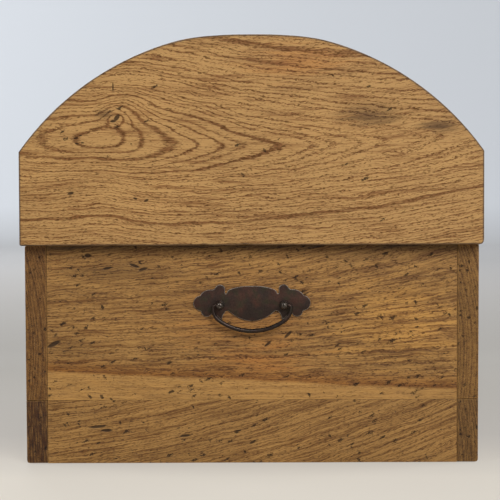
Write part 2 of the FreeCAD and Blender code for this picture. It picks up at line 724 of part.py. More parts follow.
def leaf(label, hinge, face, up, knuckles, bore, nail_holes):
    """A hinge leaf: a plate with a rounded tip, and knuckles that wrap the pin just outside it.

    `face` is the wood's face that it lies on, and `up` is 1 for the lid's leaf and -1 for the wall's.
    """
    body = new_body(label)
    half = "D.hinge_width / 2"
    tip = "W.pivot_z + D.lid_leaf_height" if up > 0 else "W.pivot_z - D.wall_leaf_height"
    edge_lid = "W.pivot_z + D.barrel_radius + D.barrel_clearance"
    near_edge = edge_lid if up > 0 else "W.pivot_z - D.neck_height"
    shoulder = f"{tip} - {up} * D.leaf_corner_radius"
    corners = [(f"-{half}", near_edge), (f"-{half}", shoulder), (f"-{half} + D.leaf_corner_radius", tip),
               (f"{half} - D.leaf_corner_radius", tip), (half, shoulder), (half, near_edge)]
    rounds = {1: f"{-up} * D.leaf_corner_radius", 3: f"{-up} * D.leaf_corner_radius"}
    plate = outline(body, label + "_plate", "XZ_Plane", corners, rounds)
    pad(body, plate, "D.leaf_thickness", "One side", True)
    out = f"(W.pivot_y - {face})"
    low_45 = (f"{out} + D.barrel_radius * cos(45 deg)",
              f"W.pivot_z - {up} * D.barrel_radius * sin(45 deg)")
    neck = "(D.barrel_radius + D.neck_height)"
    section = [("0", f"W.pivot_z + {up} * {neck}"),
               ("0", f"W.pivot_z + {up} * D.barrel_radius / 2"),
               (f"{out} - D.barrel_radius", "W.pivot_z"), low_45,
               (out, f"W.pivot_z + {up} * D.barrel_radius"),
               ("D.leaf_thickness", f"W.pivot_z + {up} * {neck}")]
    turns = {2: f"{up} * D.barrel_radius", 3: f"{up} * D.barrel_radius"}
    for number in knuckles:
        drawn = outline(body, f"{label}_knuckle_{number}", "YZ_Plane", section, turns)
        shift = f"D.hinge_width / {KNUCKLES} * {number - (KNUCKLES - 1) / 2}"
        drawn.setExpression(".AttachmentOffset.Base.z", bound(shift))
        pad(body, drawn, f"D.hinge_width / {KNUCKLES} - D.knuckle_gap")
    move(body, f"{hinge} * D.hinge_spacing / 2", face)
    return node(label, cut(label + "_pierced", cut(label + "_bored", body, bore), nail_holes))


def hinge_pin(label, hinge):
    """A round pin with a low hammered head of eight sides at each end."""
    length = "D.hinge_width + 2 * D.pin_head_height"
    start = f"{hinge} * D.hinge_spacing / 2 - D.hinge_width / 2"
    parts = [cylinder(label + "_shaft", "D.hinge_pin_radius", length,
                      f"{start} - D.pin_head_height", "W.pivot_y", "W.pivot_z", ALONG_X)]
    for number, x in enumerate((f"{start} - D.pin_head_height", f"{start} + D.hinge_width")):
        parts.append(prism(f"{label}_head_{number}", PIN_HEAD_SIDES, "D.pin_head_radius",
                           "D.pin_head_height", x, "W.pivot_y", "W.pivot_z", ALONG_X))
    return node(label, fuse(label + "_headed", parts))


def hinges(wall_nails, lid_nails):
    for hinge in (LEFT, RIGHT):
        name = END_NAMES[hinge] + "_hinge"
        start = f"{hinge} * D.hinge_spacing / 2 - D.hinge_width"
        place = ("2 * D.hinge_width", start, "W.pivot_y", "W.pivot_z", ALONG_X)
        fixed = cylinder(name + "_fixed_bore", "D.hinge_pin_radius", *place)
        running = cylinder(name + "_running_bore", "D.hinge_pin_radius + D.running_clearance", *place)
        leaf(name + "_wall_leaf", hinge, "W.wall_face", -1, range(0, KNUCKLES, 2), fixed, wall_nails)
        leaf(name + "_lid_leaf", hinge, "W.lid_face", 1, range(1, KNUCKLES, 2), running, lid_nails)
        hinge_pin(name + "_pin", hinge)


# ---------------------------------------------------------------- the whole chest

front_pegs = node("front_wall_pegs", wall_pegs(FRONT))
back_pegs = node("back_wall_pegs", wall_pegs(BACK))
stave_pegs = node("lid_pegs", lid_pegs())
wall_leaf_nails = node("wall_leaf_nails", nails(
    "wall_nail_set", "(W.wall_face + D.leaf_thickness)",
    ("W.pivot_z - D.nail_row_inset", "W.pivot_z - D.wall_leaf_height + D.nail_tip_inset")))
lid_leaf_nails = node("lid_leaf_nails", nails(
    "lid_nail_set", "(W.lid_face + D.leaf_thickness)",
    ("W.pivot_z + D.nail_row_inset", "W.pivot_z + D.lid_leaf_height - D.nail_tip_inset")))
post_bores = shank_holes()
end_fixings = group("end_fixings", [front_pegs, back_pegs, post_bores])
back_fixings = group("back_fixings", [back_pegs, wall_leaf_nails])
back_rim_fixings = group("back_rim_fixings", [stave_pegs, lid_leaf_nails])

for rank, bottom, top in (("lower", "0", "D.lower_board_height"),
                          ("upper", "D.lower_board_height", "D.body_height")):
    wall_board(f"front_{rank}_board", FRONT, bottom, top, front_pegs)
    wall_board(f"back_{rank}_board", BACK, bottom, top, back_fixings)
    for chest_end in (LEFT, RIGHT):
        end_board(f"{END_NAMES[chest_end]}_end_{rank}_board", chest_end, bottom, top, end_fixings)
for board in range(FLOOR_BOARDS):
    floor_board(board)
cleats()

for chest_end in (LEFT, RIGHT):
    lid_end(chest_end, stave_pegs)
lid_rim(FRONT, stave_pegs)
lid_rim(BACK, back_rim_fixings)
top_stave(stave_pegs)
for arch_side in (FRONT, BACK):
    for stave in range(STAVES_PER_SIDE):
        side_stave(arch_side, stave, stave_pegs)
lid_rib(stave_pegs)

for chest_end in (LEFT, RIGHT):
    handle(chest_end)
hinges(wall_leaf_nails, lid_leaf_nails)
doc.recompute()

# ---------------------------------------------------------------- check and write

for thing in doc.Objects:
    if "Invalid" in thing.State or "Error" in thing.State:
        raise RuntimeError(f"{thing.Name} failed: {thing.State}")
os.makedirs("parts", exist_ok=True)
for thing in nodes:
    if thing.Shape.isNull() or not thing.Shape.isValid() or not thing.Shape.Solids:
        raise RuntimeError(f"{thing.Label} has no sound solid")
for thing in nodes:
    thing.Shape.exportStep(f"parts/{thing.Label}.step")
print(f"{len(nodes)} sub-parts, {sum(len(thing.Shape.Solids) for thing in nodes)} solids")
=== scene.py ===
"""Looks of an oak ark chest: worn oak boards, a coopered lid and dark iron handles and hinges.

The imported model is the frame. Sizes in this file are millimetres, in the model's own axes: +Z up, the
chest along X, its front at -Y. They become metres where a mesh or a lamp is made.
"""
import math

import bmesh
import bpy
import numpy as np
from mathutils import Matrix, Vector


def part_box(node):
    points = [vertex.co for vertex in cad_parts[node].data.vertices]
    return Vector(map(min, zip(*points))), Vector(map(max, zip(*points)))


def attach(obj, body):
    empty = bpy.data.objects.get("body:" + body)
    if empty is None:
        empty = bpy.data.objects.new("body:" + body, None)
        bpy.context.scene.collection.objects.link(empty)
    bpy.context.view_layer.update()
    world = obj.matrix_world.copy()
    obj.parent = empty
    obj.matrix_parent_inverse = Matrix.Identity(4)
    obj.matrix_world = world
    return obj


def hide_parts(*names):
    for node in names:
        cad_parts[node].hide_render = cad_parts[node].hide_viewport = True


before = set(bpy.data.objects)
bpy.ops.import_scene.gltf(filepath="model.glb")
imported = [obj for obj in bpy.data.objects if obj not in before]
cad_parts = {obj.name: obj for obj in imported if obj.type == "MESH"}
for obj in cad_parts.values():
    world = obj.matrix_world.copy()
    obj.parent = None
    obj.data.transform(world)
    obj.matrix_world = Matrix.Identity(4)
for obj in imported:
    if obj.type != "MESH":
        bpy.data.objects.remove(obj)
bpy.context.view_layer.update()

MM = 0.001
SIDES = {"right": 1, "left": -1}
WALLS = {"front": -1, "back": 1}


def corner(node, end, axis):
    """One coordinate of a node's box in millimetres: end 0 is the low corner and 1 the high one."""
    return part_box(node)[end]["xyz".index(axis)] / MM


# ---------------------------------------------------------------- sizes, read from the frame

END_FACE = corner("front_upper_board", 1, "x")
END_INSIDE = corner("right_end_upper_board", 0, "x")
WALL_FACE = corner("back_upper_board", 1, "y")
WALL_INSIDE = corner("back_upper_board", 0, "y")
BOX_TOP = corner("back_upper_board", 1, "z")
GLUE_LINE = corner("back_lower_board", 1, "z")
LID_END_FACE = corner("lid_end_right", 1, "x")
STAVE_END = corner("lid_stave_top", 1, "x")
LID_FACE = corner("lid_rim_back", 1, "y")
RIM_INSIDE = corner("lid_rim_back", 0, "y")
LID_BOTTOM = corner("lid_rim_back", 0, "z")
RIM_TOP = corner("lid_rim_back", 1, "z")
LID_TOP = corner("lid_stave_top", 1, "z")
HALF_FLAT = corner("lid_stave_top", 1, "y")
STAVE_THICKNESS = LID_TOP - corner("lid_stave_top", 0, "z")
STAVES_PER_SIDE = 3
HANDLE_Z = 173.0
POST_Y = (corner("right_handle_post_back", 0, "y") + corner("right_handle_post_back", 1, "y")) / 2
BAIL_OUT = (corner("right_handle_bail", 0, "x") + corner("right_handle_bail", 1, "x")) / 2 - END_FACE

# The lid's arch: a circle through the rims' top corners and the edges of the flat crown.
ARCH_RISE = LID_TOP - RIM_TOP
CROWN_ABOVE_CENTRE = (LID_FACE ** 2 - HALF_FLAT ** 2 + ARCH_RISE ** 2) / (2 * ARCH_RISE)
ARCH_RADIUS = math.hypot(CROWN_ABOVE_CENTRE, HALF_FLAT)
ARCH_CENTRE = LID_TOP - CROWN_ABOVE_CENTRE
FLAT_ANGLE = math.asin(HALF_FLAT / ARCH_RADIUS)
SPRING_ANGLE = math.asin(LID_FACE / ARCH_RADIUS)

PEG_STAND = 0.15        # how far wood round the pegs has worn down
FOOT_WEAR = 0.6         # how much thinner the walls' outsides have worn at the floor
CROWN_WEAR = 1.5        # how far the corners beside the lid's flat crown are planed off
BOARD_ARRIS = 1.1       # worn edge of a board
JOINT_ARRIS = 0.05      # edge at a glued joint
HOLD = 1.0              # a flat stays flat from this far inside its round edge
FULL_WEAR = 0.6         # an edge rounded this much or more is rubbed pale
SOFT_TURN = 12.0        # half the length over which the grain turns at its heart
SHARP = math.radians(38)               # faces that turn by more than this meet in a sharp edge


# ---------------------------------------------------------------- colours

def linear(code):
    """An opaque sRGB hex colour as linear light."""
    part = np.array([int(code[i:i + 2], 16) for i in (1, 3, 5)]) / 255
    low, high = part / 12.92, ((part + 0.055) / 1.055) ** 2.4
    return (*np.where(part <= 0.04045, low, high), 1.0)


LATE_LID, EARLY_LID, PORE_LID = linear("#b68c54"), linear("#7d5227"), linear("#452709")
LATE_BOX, EARLY_BOX, PORE_BOX = linear("#a67c44"), linear("#6b461f"), linear("#381e08")
BRUISE = linear("#1c0e05")           # crushed wood that has taken in dirt
DIRT_AND_SHADE = linear("#43352a")             # dirt on edges that hands don't rub, and painted shade in the lid's joints and along its lower edge
# Bare rubbed iron, whose pale grey is also painted highlight on the handles' rims and ball heads.
BARE_IRON_AND_HIGHLIGHT = linear("#b3aa9e")
GREY_STAIN = linear("#938a7e")       # this and the next three multiply the wood's colour
AMBER = linear("#ffd8a8")
# Painted light: lightens the upper end boards towards the back, where more light falls.
PAINTED_LIGHT_AT_BACK = (1.32, 1.27, 1.06, 1.0)
# Painted shade: darkens the top of the upper end boards, under the lid's overhang.
PAINTED_SHADE_UNDER_LID = linear("#423529")
# Stain on the ends of the walls' boards, darker on the lower ones. Painted light makes the back ones,
# on the side where more light falls, lighter than the front ones.
END_SHADES = {"front_upper": "#ad9e86", "front_lower": "#745e42", "back_upper": "#c9c2ad",
              "back_lower": "#a39c8b"}


# ---------------------------------------------------------------- meshes

def unit(rows):
    """Each row made one long."""
    return rows / np.maximum(np.linalg.norm(rows, axis=-1, keepdims=True), 1e-9)


def wander(points, length, seed):
    """Smooth irregular wave from -1 to 1: the mean of five sines whose directions are drawn at random."""
    draw = np.random.default_rng(seed)
    waves = unit(draw.normal(size=(5, points.shape[-1]))) * draw.uniform(0.6, 1.7, (5, 1))
    phase = draw.uniform(0, 2 * math.pi, 5)
    return np.sin(points @ waves.T * (2 * math.pi / length) + phase).mean(-1)


def outline(corners, inset, spacing, steps=4):
    """Closed outline through (y, z, radius) corners, anticlockwise, drawn in by `inset`.

    A corner with a radius becomes an arc of `steps` sides, centred on the corner's bisector, and its radius
    shrinks with the inset. Straight sides are cut about every `spacing`, and once more close to each end,
    where they stay flat. Columns: y, z, wear, which is 0 beside the arcs and grows with their radius on
    them, and the way inwards in y and z.
    """
    corners = np.array(corners, float)
    before, after = [unit(np.roll(corners[:, :2], turn, 0) - corners[:, :2]) for turn in (1, -1)]
    half = np.arccos(np.clip((before * after).sum(1), -1, 1)) / 2
    tangent = unit(after - before)
    mitre = np.column_stack([-tangent[:, 1], tangent[:, 0]]) / np.sin(half)[:, None]
    place = corners[:, :2] + mitre * inset
    radius = np.where(corners[:, 2] > 0, np.maximum(corners[:, 2] - inset, 0.01), 0)
    reach, full_reach = radius / np.tan(half), corners[:, 2] / np.tan(half)
    centre = place + mitre * radius[:, None]
    runs = []
    for i in range(len(corners)):
        start, finish = place[i] + before[i] * reach[i], place[i] + after[i] * reach[i]
        if radius[i] > 0:
            turn = math.pi - 2 * half[i]
            share = np.linspace(0, 1, steps + 1)[:, None]
            arc = (np.sin((1 - share) * turn) * (start - centre[i])
                   + np.sin(share * turn) * (finish - centre[i])) / math.sin(turn) + centre[i]
            wear = np.full(steps + 1, min(1.0, corners[i, 2] / FULL_WEAR))
            runs.append(np.column_stack([arc, wear, np.tile(mitre[i], (steps + 1, 1))]))
        else:
            runs.append(np.array([[*place[i], 0.0, *mitre[i]]]))
        j = (i + 1) % len(corners)
        target = place[j] + before[j] * reach[j]
        full = np.linalg.norm(corners[j, :2] - corners[i, :2]) - full_reach[i] - full_reach[j]
        if full > 3 * HOLD:
            cuts = np.linspace(HOLD, full - HOLD, max(2, int(full / spacing) + 1))[:, None] / full
            side = finish + (target - finish) * cuts
            inward = np.tile((-after[i, 1], after[i, 0]), (len(cuts), 1))
            runs.append(np.column_stack([side, np.zeros(len(cuts)), inward]))
    return np.concatenate(runs)


def crest(y, depth):
    """Height of the lid's outside at a distance from the middle, or of a skin that lies `depth` inside it.

    It is the lower of the circle and the flat crown, less a bell over each corner between the two.
    """
    y = np.asarray(y, float)
    circle = ARCH_CENTRE + np.sqrt((ARCH_RADIUS - depth) ** 2 - y ** 2)
    return np.minimum(circle, LID_TOP - depth) - CROWN_WEAR * np.exp(-((np.abs(y) - HALF_FLAT) / 18) ** 2)


def arch(first, last, depth, count, end_radius):
    """Corners along the lid's outside, between two distances from the middle: the end ones are rounded."""
    y = np.linspace(first, last, count)
    return np.column_stack([y, crest(y, depth), [end_radius, *[0] * (count - 2), end_radius]]).tolist()


def wall_wear(z):
    """How far a wall's outside has worn back at one height."""
    return PEG_STAND + FOOT_WEAR * (1 - z / BOX_TOP)


def capped(rings):
    """Faces of a closed tube of rings: quads between them and one flat face at each end."""
    number, count = rings.shape[:2]
    ring, point = np.meshgrid(np.arange(number - 1), np.arange(count), indexing="ij")
    after = (point + 1) % count
    quads = np.stack([ring * count + point, ring * count + after,
                      (ring + 1) * count + after, (ring + 1) * count + point], -1)
    last = (number - 1) * count
    return quads.reshape(-1, 4).tolist() + [list(range(count))[::-1], list(range(last, last + count))]


def new_object(name, data):
    """An object for a mesh, lamp or camera, linked into the scene."""
    thing = bpy.data.objects.new(name, data)
    bpy.context.scene.collection.objects.link(thing)
    return thing


def stand_in(node, ending, mesh, body, material):
    """The object that stands for a node, named after it with an ending."""
    mesh.shade_smooth()
    mesh.set_sharp_from_angle(angle=SHARP)
    mesh.materials.clear()
    mesh.materials.append(material)
    thing = new_object(node + ending, mesh)
    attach(thing, body)
    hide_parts(node)
    return thing


def mirrored(section, side):
    """A section drawn for the back wall, turned over for the front one, where `side` is -1."""
    return section if side > 0 else [(-y, z, radius) for y, z, radius in reversed(section)]


def piece(node, ending, rings, body, material, worn):
    """One closed piece that stands for a node, from rings of points in millimetres and each point's wear, dirt
    and painted light.
    """
    mesh = bpy.data.meshes.new(node + ending)
    mesh.from_pydata((rings.reshape(-1, 3) * MM).tolist(), [], capped(rings))
    mesh.attributes.new("worn", "FLOAT", "POINT").data.foreach_set("value", worn.astype(np.float32))
    shell = bmesh.new()
    shell.from_mesh(mesh)
    bmesh.ops.recalc_face_normals(shell, faces=shell.faces)
    shell.to_mesh(mesh)
    shell.free()
    stand_in(node, ending, mesh, body, material)


def board(name, corners, low, high, material, slot, body, seed, arrises=(0.2, 0.2), sag=0.15, chips=(),
          spacing=14.0, dirt_and_shade_above=math.inf):
    """A board that stands for one node: its section, drawn in (y, z), is carried along X from low to high.

    At an end of radius r and angle a, the section stands r(1 - cos a) inside the end and is drawn in by
    r(1 - sin a). The faces wander inwards by up to twice `sag`, as hand-planed ones do, and rounded edges
    are worn by a little more here and there. A chip is (y, z, length, depth): a bite out of the high end.
    Edges are rubbed pale, and darkened above the given height by dirt and painted shade.
    """
    angle = np.linspace(0, math.pi / 2, 5)
    in_x, draw_in = 1 - np.cos(angle), 1 - np.sin(angle)
    first, last = arrises
    flats = np.linspace(low + first + HOLD, high - last - HOLD, max(2, int((high - low) / 45) + 1))
    x = np.concatenate([[low], low + first * in_x, flats, (high - last * in_x)[::-1], [high]])
    inset = np.concatenate([[first + HOLD], first * draw_in, 0 * flats, (last * draw_in)[::-1], [last + HOLD]])
    loops = np.stack([outline(corners, depth, spacing) for depth in inset])
    rubbed = [min(1.0, arris / FULL_WEAR) for arris in arrises]
    at_end = np.array([0, *[rubbed[0]] * 5, *[0] * len(flats), *[rubbed[1]] * 5, 0])[:, None]
    worn = np.maximum(at_end, loops[..., 2])
    points = np.concatenate([np.broadcast_to(x[:, None, None], (*worn.shape, 1)), loops[..., :2]], -1)
    push = sag * (1 + wander(points, 230, seed)) + worn * 0.3 * (1 + wander(points, 37, seed + 1))
    push[[0, -1]] = push[[1, -2]]
    for y, z, length, depth in chips:
        far = ((points[..., 1] - y) ** 2 + (points[..., 2] - z) ** 2) / (length / 2) ** 2
        push += depth * np.exp(-far - ((points[..., 0] - high) / 2.5) ** 2)
    points[..., 1:] += loops[..., 3:] * push[..., None]
    worn = np.where(points[..., 2] > dirt_and_shade_above, -worn, worn)
    worn[[0, -1]] = 0
    piece(name, "_worn", points, body, material, worn.reshape(-1))


def turned(profile, centre, out_sign, face, steps=28):
    """A lathe shape: (radius, distance out) points turned about an axis along X through (y, z)."""
    profile = np.array(profile, float)
    angle = np.linspace(0, 2 * math.pi, steps, endpoint=False)
    radius, out = profile[:, :1], profile[:, 1:]
    x = out_sign * (face + out) + 0 * angle
    return np.stack([x, centre[0] + radius * np.cos(angle), centre[1] + radius * np.sin(angle)], -1)


def swept(path, radius, steps=16):
    """A round bar along a path in a plane of constant X: rings stand square to the path's own direction."""
    way = unit(np.gradient(path, axis=0))
    side = np.column_stack([np.zeros(len(path)), way[:, 2], -way[:, 1]])
    angle = np.linspace(0, 2 * math.pi, steps, endpoint=False)[None, :, None]
    across = np.array([1.0, 0.0, 0.0])
    return path[:, None] + radius[:, None, None] * (np.cos(angle) * side[:, None] + np.sin(angle) * across)


def eased(node, body, slot, material, width):
    """A copy of a node with its loose triangles merged and its sharp edges rounded by a bevel.

    What stands at the face of a long wall follows that wall's wear.
    """
    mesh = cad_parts[node].data.copy()
    shell = bmesh.new()
    shell.from_mesh(mesh)
    for vertex in shell.verts:
        if slot == "peg_oak" and abs(abs(vertex.co.y) / MM - WALL_FACE) < 0.01:
            vertex.co.y -= math.copysign((wall_wear(vertex.co.z / MM) - PEG_STAND) * MM, vertex.co.y)
    bmesh.ops.remove_doubles(shell, verts=shell.verts, dist=1e-6)
    bmesh.ops.dissolve_limit(shell, angle_limit=math.radians(0.5), verts=shell.verts, edges=shell.edges)
    shell.to_mesh(mesh)
    shell.free()
    thing = stand_in(node, "_eased", mesh, body, material)
    bevel = thing.modifiers.new("rounded edges", "BEVEL")
    bevel.width, bevel.segments = width * MM, 2
    bevel.limit_method, bevel.angle_limit = "ANGLE", SHARP


# ---------------------------------------------------------------- materials

def add(tree, kind, links, out=0, **settings):
    """Add a node with its settings and inputs, each a number, a colour or another node's output."""
    node = tree.nodes.new("ShaderNode" + kind)
    for key, value in settings.items():
        setattr(node, key, value)
    for key, value in links.items():
        if isinstance(value, bpy.types.NodeSocket):
            tree.links.new(value, node.inputs[key])
        else:
            node.inputs[key].default_value = value
    return node.outputs[out]


def calc(tree, operation, *values, **settings):
    """One Math node on numbers or on other nodes' outputs."""
    return add(tree, "Math", dict(enumerate(values)), operation=operation, **settings)


def vector(tree, operation, *values, out=0):
    """One Vector Math node on vectors, colours or other nodes' outputs."""
    return add(tree, "VectorMath", dict(enumerate(values)), out, operation=operation)


def scaled(tree, colour, amount):
    """A colour or vector times a number."""
    return add(tree, "VectorMath", {0: colour, "Scale": amount}, operation="SCALE")


def ranged(tree, value, low=0.0, high=1.0, start=0.0, finish=1.0, **settings):
    """Carry a value from the range low to high over to start to finish, and hold it there outside."""
    links = {"Value": value, "From Min": low, "From Max": high, "To Min": start, "To Max": finish}
    return add(tree, "MapRange", links, **settings)


def mixed(tree, share, first, second, **settings):
    """Mix two colours: `share` 0 gives the first and 1 the second."""
    return add(tree, "Mix", {0: share, 6: first, 7: second}, out=2, data_type="RGBA", **settings)


def new_material(name):
    """An empty node material with its tree and output node."""
    material = bpy.data.materials.new(name)
    material.use_nodes = True
    tree = material.node_tree
    tree.nodes.clear()
    return material, tree, tree.nodes.new("ShaderNodeOutputMaterial")


def noise(tree, place, scales, shift=0.0, detail=2.0, roughness=0.5):
    """Noise from a place in millimetres: `scales` are the lengths of its lumps along the three axes."""
    spot = vector(tree, "MULTIPLY_ADD", place, tuple(1 / length for length in scales), (shift,) * 3)
    return add(tree, "TexNoise", {"Vector": spot, "Scale": 1.0, "Detail": detail, "Roughness": roughness})


def scattered_marks(tree, grain, tilt, cell, share, size):
    """Sparse small dents: in a grid of cells only a share of them holds a mark, of its own size.

    The grid is turned by `tilt` degrees, each cell is `cell` millimetres long and high, and slow noise
    gathers the marks into groups.
    """
    turned_grain = add(tree, "VectorRotate", {"Vector": grain, "Angle": math.radians(tilt)},
                       rotation_type="Z_AXIS")
    spot = vector(tree, "MULTIPLY", turned_grain, (1 / cell[0], 1 / cell[1], 1 / cell[1]))
    ragged = add(tree, "TexNoise", {"Vector": spot, "Scale": 3.6, "Detail": 1.0}, out="Color")
    shaken = vector(tree, "MULTIPLY_ADD", ragged, (0.3, 0.3, 0.3), spot)
    cells = tree.nodes.new("ShaderNodeTexVoronoi")
    cells.inputs["Scale"].default_value = 1.0
    tree.links.new(shaken, cells.inputs["Vector"])
    draw = add(tree, "SeparateColor", {"Color": cells.outputs["Color"]})
    groups = noise(tree, grain, (80, 50, 50), tilt)
    groups = ranged(tree, groups, 0.36, 0.66, 1 - 0.25 * share, 1 - 1.9 * share)
    reach = ranged(tree, draw, groups, 1.0, 0.25 * size, size)
    chosen = calc(tree, "GREATER_THAN", draw, groups)
    reach = calc(tree, "MULTIPLY", reach, chosen)
    inside = calc(tree, "SUBTRACT", reach, cells.outputs["Distance"])
    frayed = noise(tree, grain, (1.7, 0.8, 0.8), detail=1.0)
    inside = calc(tree, "MULTIPLY_ADD", frayed, 0.9, inside)
    inside = calc(tree, "MULTIPLY", inside, chosen)
    return ranged(tree, inside, 0.47, 0.62)


def oval(tree, grain, along, across, length, height, tilt=0.0):
    """Distance from a point of the face, 1 on an oval round it whose long axis is tilted by some degrees."""
    offset = vector(tree, "ADD", grain, (-along, -across, 0))
    if tilt:
        offset = add(tree, "VectorRotate", {"Vector": offset, "Angle": -math.radians(tilt)},
                     rotation_type="Z_AXIS")
    offset = vector(tree, "MULTIPLY", offset, (1 / length, 1 / height, 0))
    return vector(tree, "LENGTH", offset, out="Value")


def oak(name, axes, heart, late, early, pore, out=1, ring=4.8, cone=(0.0, 30.0, 0.0, 0.0),
        lean=(0.0, 0.0), fan=None, pinch=None, point=0.0, spread=0.0, knots=(), blooms=(), marks=(),
        band=None, dents=0.0, contrast=1.0, streaks=1.0, band_share=0.46, fray=4.0,
        waver=(7.0, 110.0, 34.0), end_shade="#cdc8b8", tone=0.10, seed=0.0, gloss=0.5):
    """Waxed, hand-planed oak, drawn as a solid so that face, edge and end of a board agree.

    Year rings are cones round the heart line. Each ring starts with a dark band of open pores, which show
    as short dashes along the grain, and ends in pale wood. The band takes `band_share` of the ring's width
    and is frayed by `fray` millimetres. `axes` names the model's axes that lie along, across and into the
    grain, `heart` is where the heart line crosses the board's face, and `out` is the bark's side. `cone`
    gives how fast the rings open: a first reach and its length, then the slope to each side. `lean` bends
    the heart line. `fan` leans only the grain above a line, `pinch` packs the rings below one, `spread`
    widens the arches round their tips, and `point` sharpens the far ones. `band` is sapwood, `blooms` are
    soft stains and patches of painted light and shade, `marks` are single bruises, and `dents` is the
    share of scattered ones.
    """
    material, tree, output = new_material(name)
    place = add(tree, "SeparateXYZ", {"Vector": add(tree, "TexCoord", {}, out="Object")})
    raw = add(tree, "CombineXYZ", {i: place.node.outputs["xyz".index(axis)] for i, axis in enumerate(axes)})
    grain = vector(tree, "MULTIPLY_ADD", raw, (1 / MM, 1 / MM, out / MM), tuple(-part for part in heart))
    parts = add(tree, "SeparateXYZ", {"Vector": grain}).node.outputs
    u, v, w = parts

    # Grain wanders slowly and ripples.
    drift = noise(tree, grain, (waver[1], waver[2], waver[2]), seed, roughness=0.45)
    ripple = noise(tree, grain, (26, 10, 10), seed)
    v = calc(tree, "MULTIPLY_ADD", drift, waver[0], v)
    v = calc(tree, "MULTIPLY_ADD", ripple, 0.7 * waver[0], v)
    v = calc(tree, "SUBTRACT", v, 0.85 * waver[0])

    # The heart line leans and curves to the right of its start. `ahead` and `behind` turn over softly there.
    away = calc(tree, "SQRT", calc(tree, "MULTIPLY_ADD", u, u, SOFT_TURN ** 2))
    ahead = calc(tree, "MULTIPLY_ADD", calc(tree, "ADD", away, u), 0.5, -SOFT_TURN / 2)
    behind = calc(tree, "MULTIPLY_ADD", calc(tree, "SUBTRACT", away, u), 0.5, -SOFT_TURN / 2)
    rise = calc(tree, "MULTIPLY", calc(tree, "MULTIPLY_ADD", ahead, lean[1], lean[0]), ahead)
    if fan:
        rise = calc(tree, "MULTIPLY", rise, ranged(tree, v, fan[0], fan[1], fan[2], 1.0))
    v = calc(tree, "SUBTRACT", v, rise)
    flow = add(tree, "CombineXYZ", {0: u, 1: v, 2: w})
    ragged = noise(tree, flow, (4.5, 0.9, 0.9), seed, detail=1.0)
    if pinch:
        below = calc(tree, "MINIMUM", calc(tree, "ADD", v, pinch[0]), 0.0)
        v = calc(tree, "MULTIPLY_ADD", below, pinch[1], v)

    # Distance from the heart: the hypotenuse of the way across and the depth of the cone there.
    near = calc(tree, "MULTIPLY", calc(tree, "MULTIPLY", u, u), -1 / cone[1] ** 2)
    near = calc(tree, "EXPONENT", near)
    opening = calc(tree, "MULTIPLY_ADD", near, -cone[0], cone[0])
    opening = calc(tree, "MULTIPLY_ADD", ahead, cone[2], opening)
    opening = calc(tree, "MULTIPLY_ADD", behind, cone[3], opening)
    opening = calc(tree, "SUBTRACT", opening, w)
    if spread:
        size = calc(tree, "ABSOLUTE", v)
        wide = calc(tree, "DIVIDE", size, calc(tree, "ADD", size, spread))
        v = add(tree, "Mix", {0: near, 2: calc(tree, "MULTIPLY", wide, size), 3: size})
    reach = add(tree, "CombineXYZ", {0: v, 1: opening})
    distance = vector(tree, "LENGTH", reach, out="Value")
    if point:
        calm = ranged(tree, oval(tree, grain, 60.0, 5.0, 120.0, 42.0), 0.4, 1.5, 0.2, 1.0)
        ragged = calc(tree, "MULTIPLY", ragged, calm)
        arrow = calc(tree, "MULTIPLY_ADD", calc(tree, "ABSOLUTE", v), 0.8, opening)
        pointed = ranged(tree, u, 40.0, 150.0, finish=point)
        distance = add(tree, "Mix", {0: pointed, 2: distance, 3: arrow})
    for along_knot, across_knot, width, pull in knots:
        square = calc(tree, "POWER", oval(tree, grain, along_knot, across_knot, width, 0.87 * width), 2.0)
        bell = calc(tree, "EXPONENT", calc(tree, "MULTIPLY", square, -1.0))
        distance = calc(tree, "MULTIPLY_ADD", bell, -pull, distance)
    rings = calc(tree, "DIVIDE", calc(tree, "MULTIPLY_ADD", ragged, fray, distance), ring)
    uneven = add(tree, "TexNoise", {"W": rings, "Scale": 0.45, "Detail": 1.0}, noise_dimensions="1D")
    rings = calc(tree, "MULTIPLY_ADD", uneven, 1.8, rings)
    phase = calc(tree, "FRACT", rings)
    fade = ranged(tree, phase, 0.0, band_share, 1.0, 0.0, interpolation_type="SMOOTHSTEP")
    start = ranged(tree, phase, 0.88, 1.0)
    porous = calc(tree, "MAXIMUM", fade, start)
    weight = add(tree, "TexNoise", {"W": rings, "Scale": 1.3, "Detail": 0.0}, noise_dimensions="1D")
    weight = ranged(tree, weight, 0.3, 0.62, 0.55)
    porous = calc(tree, "MULTIPLY", porous, weight)

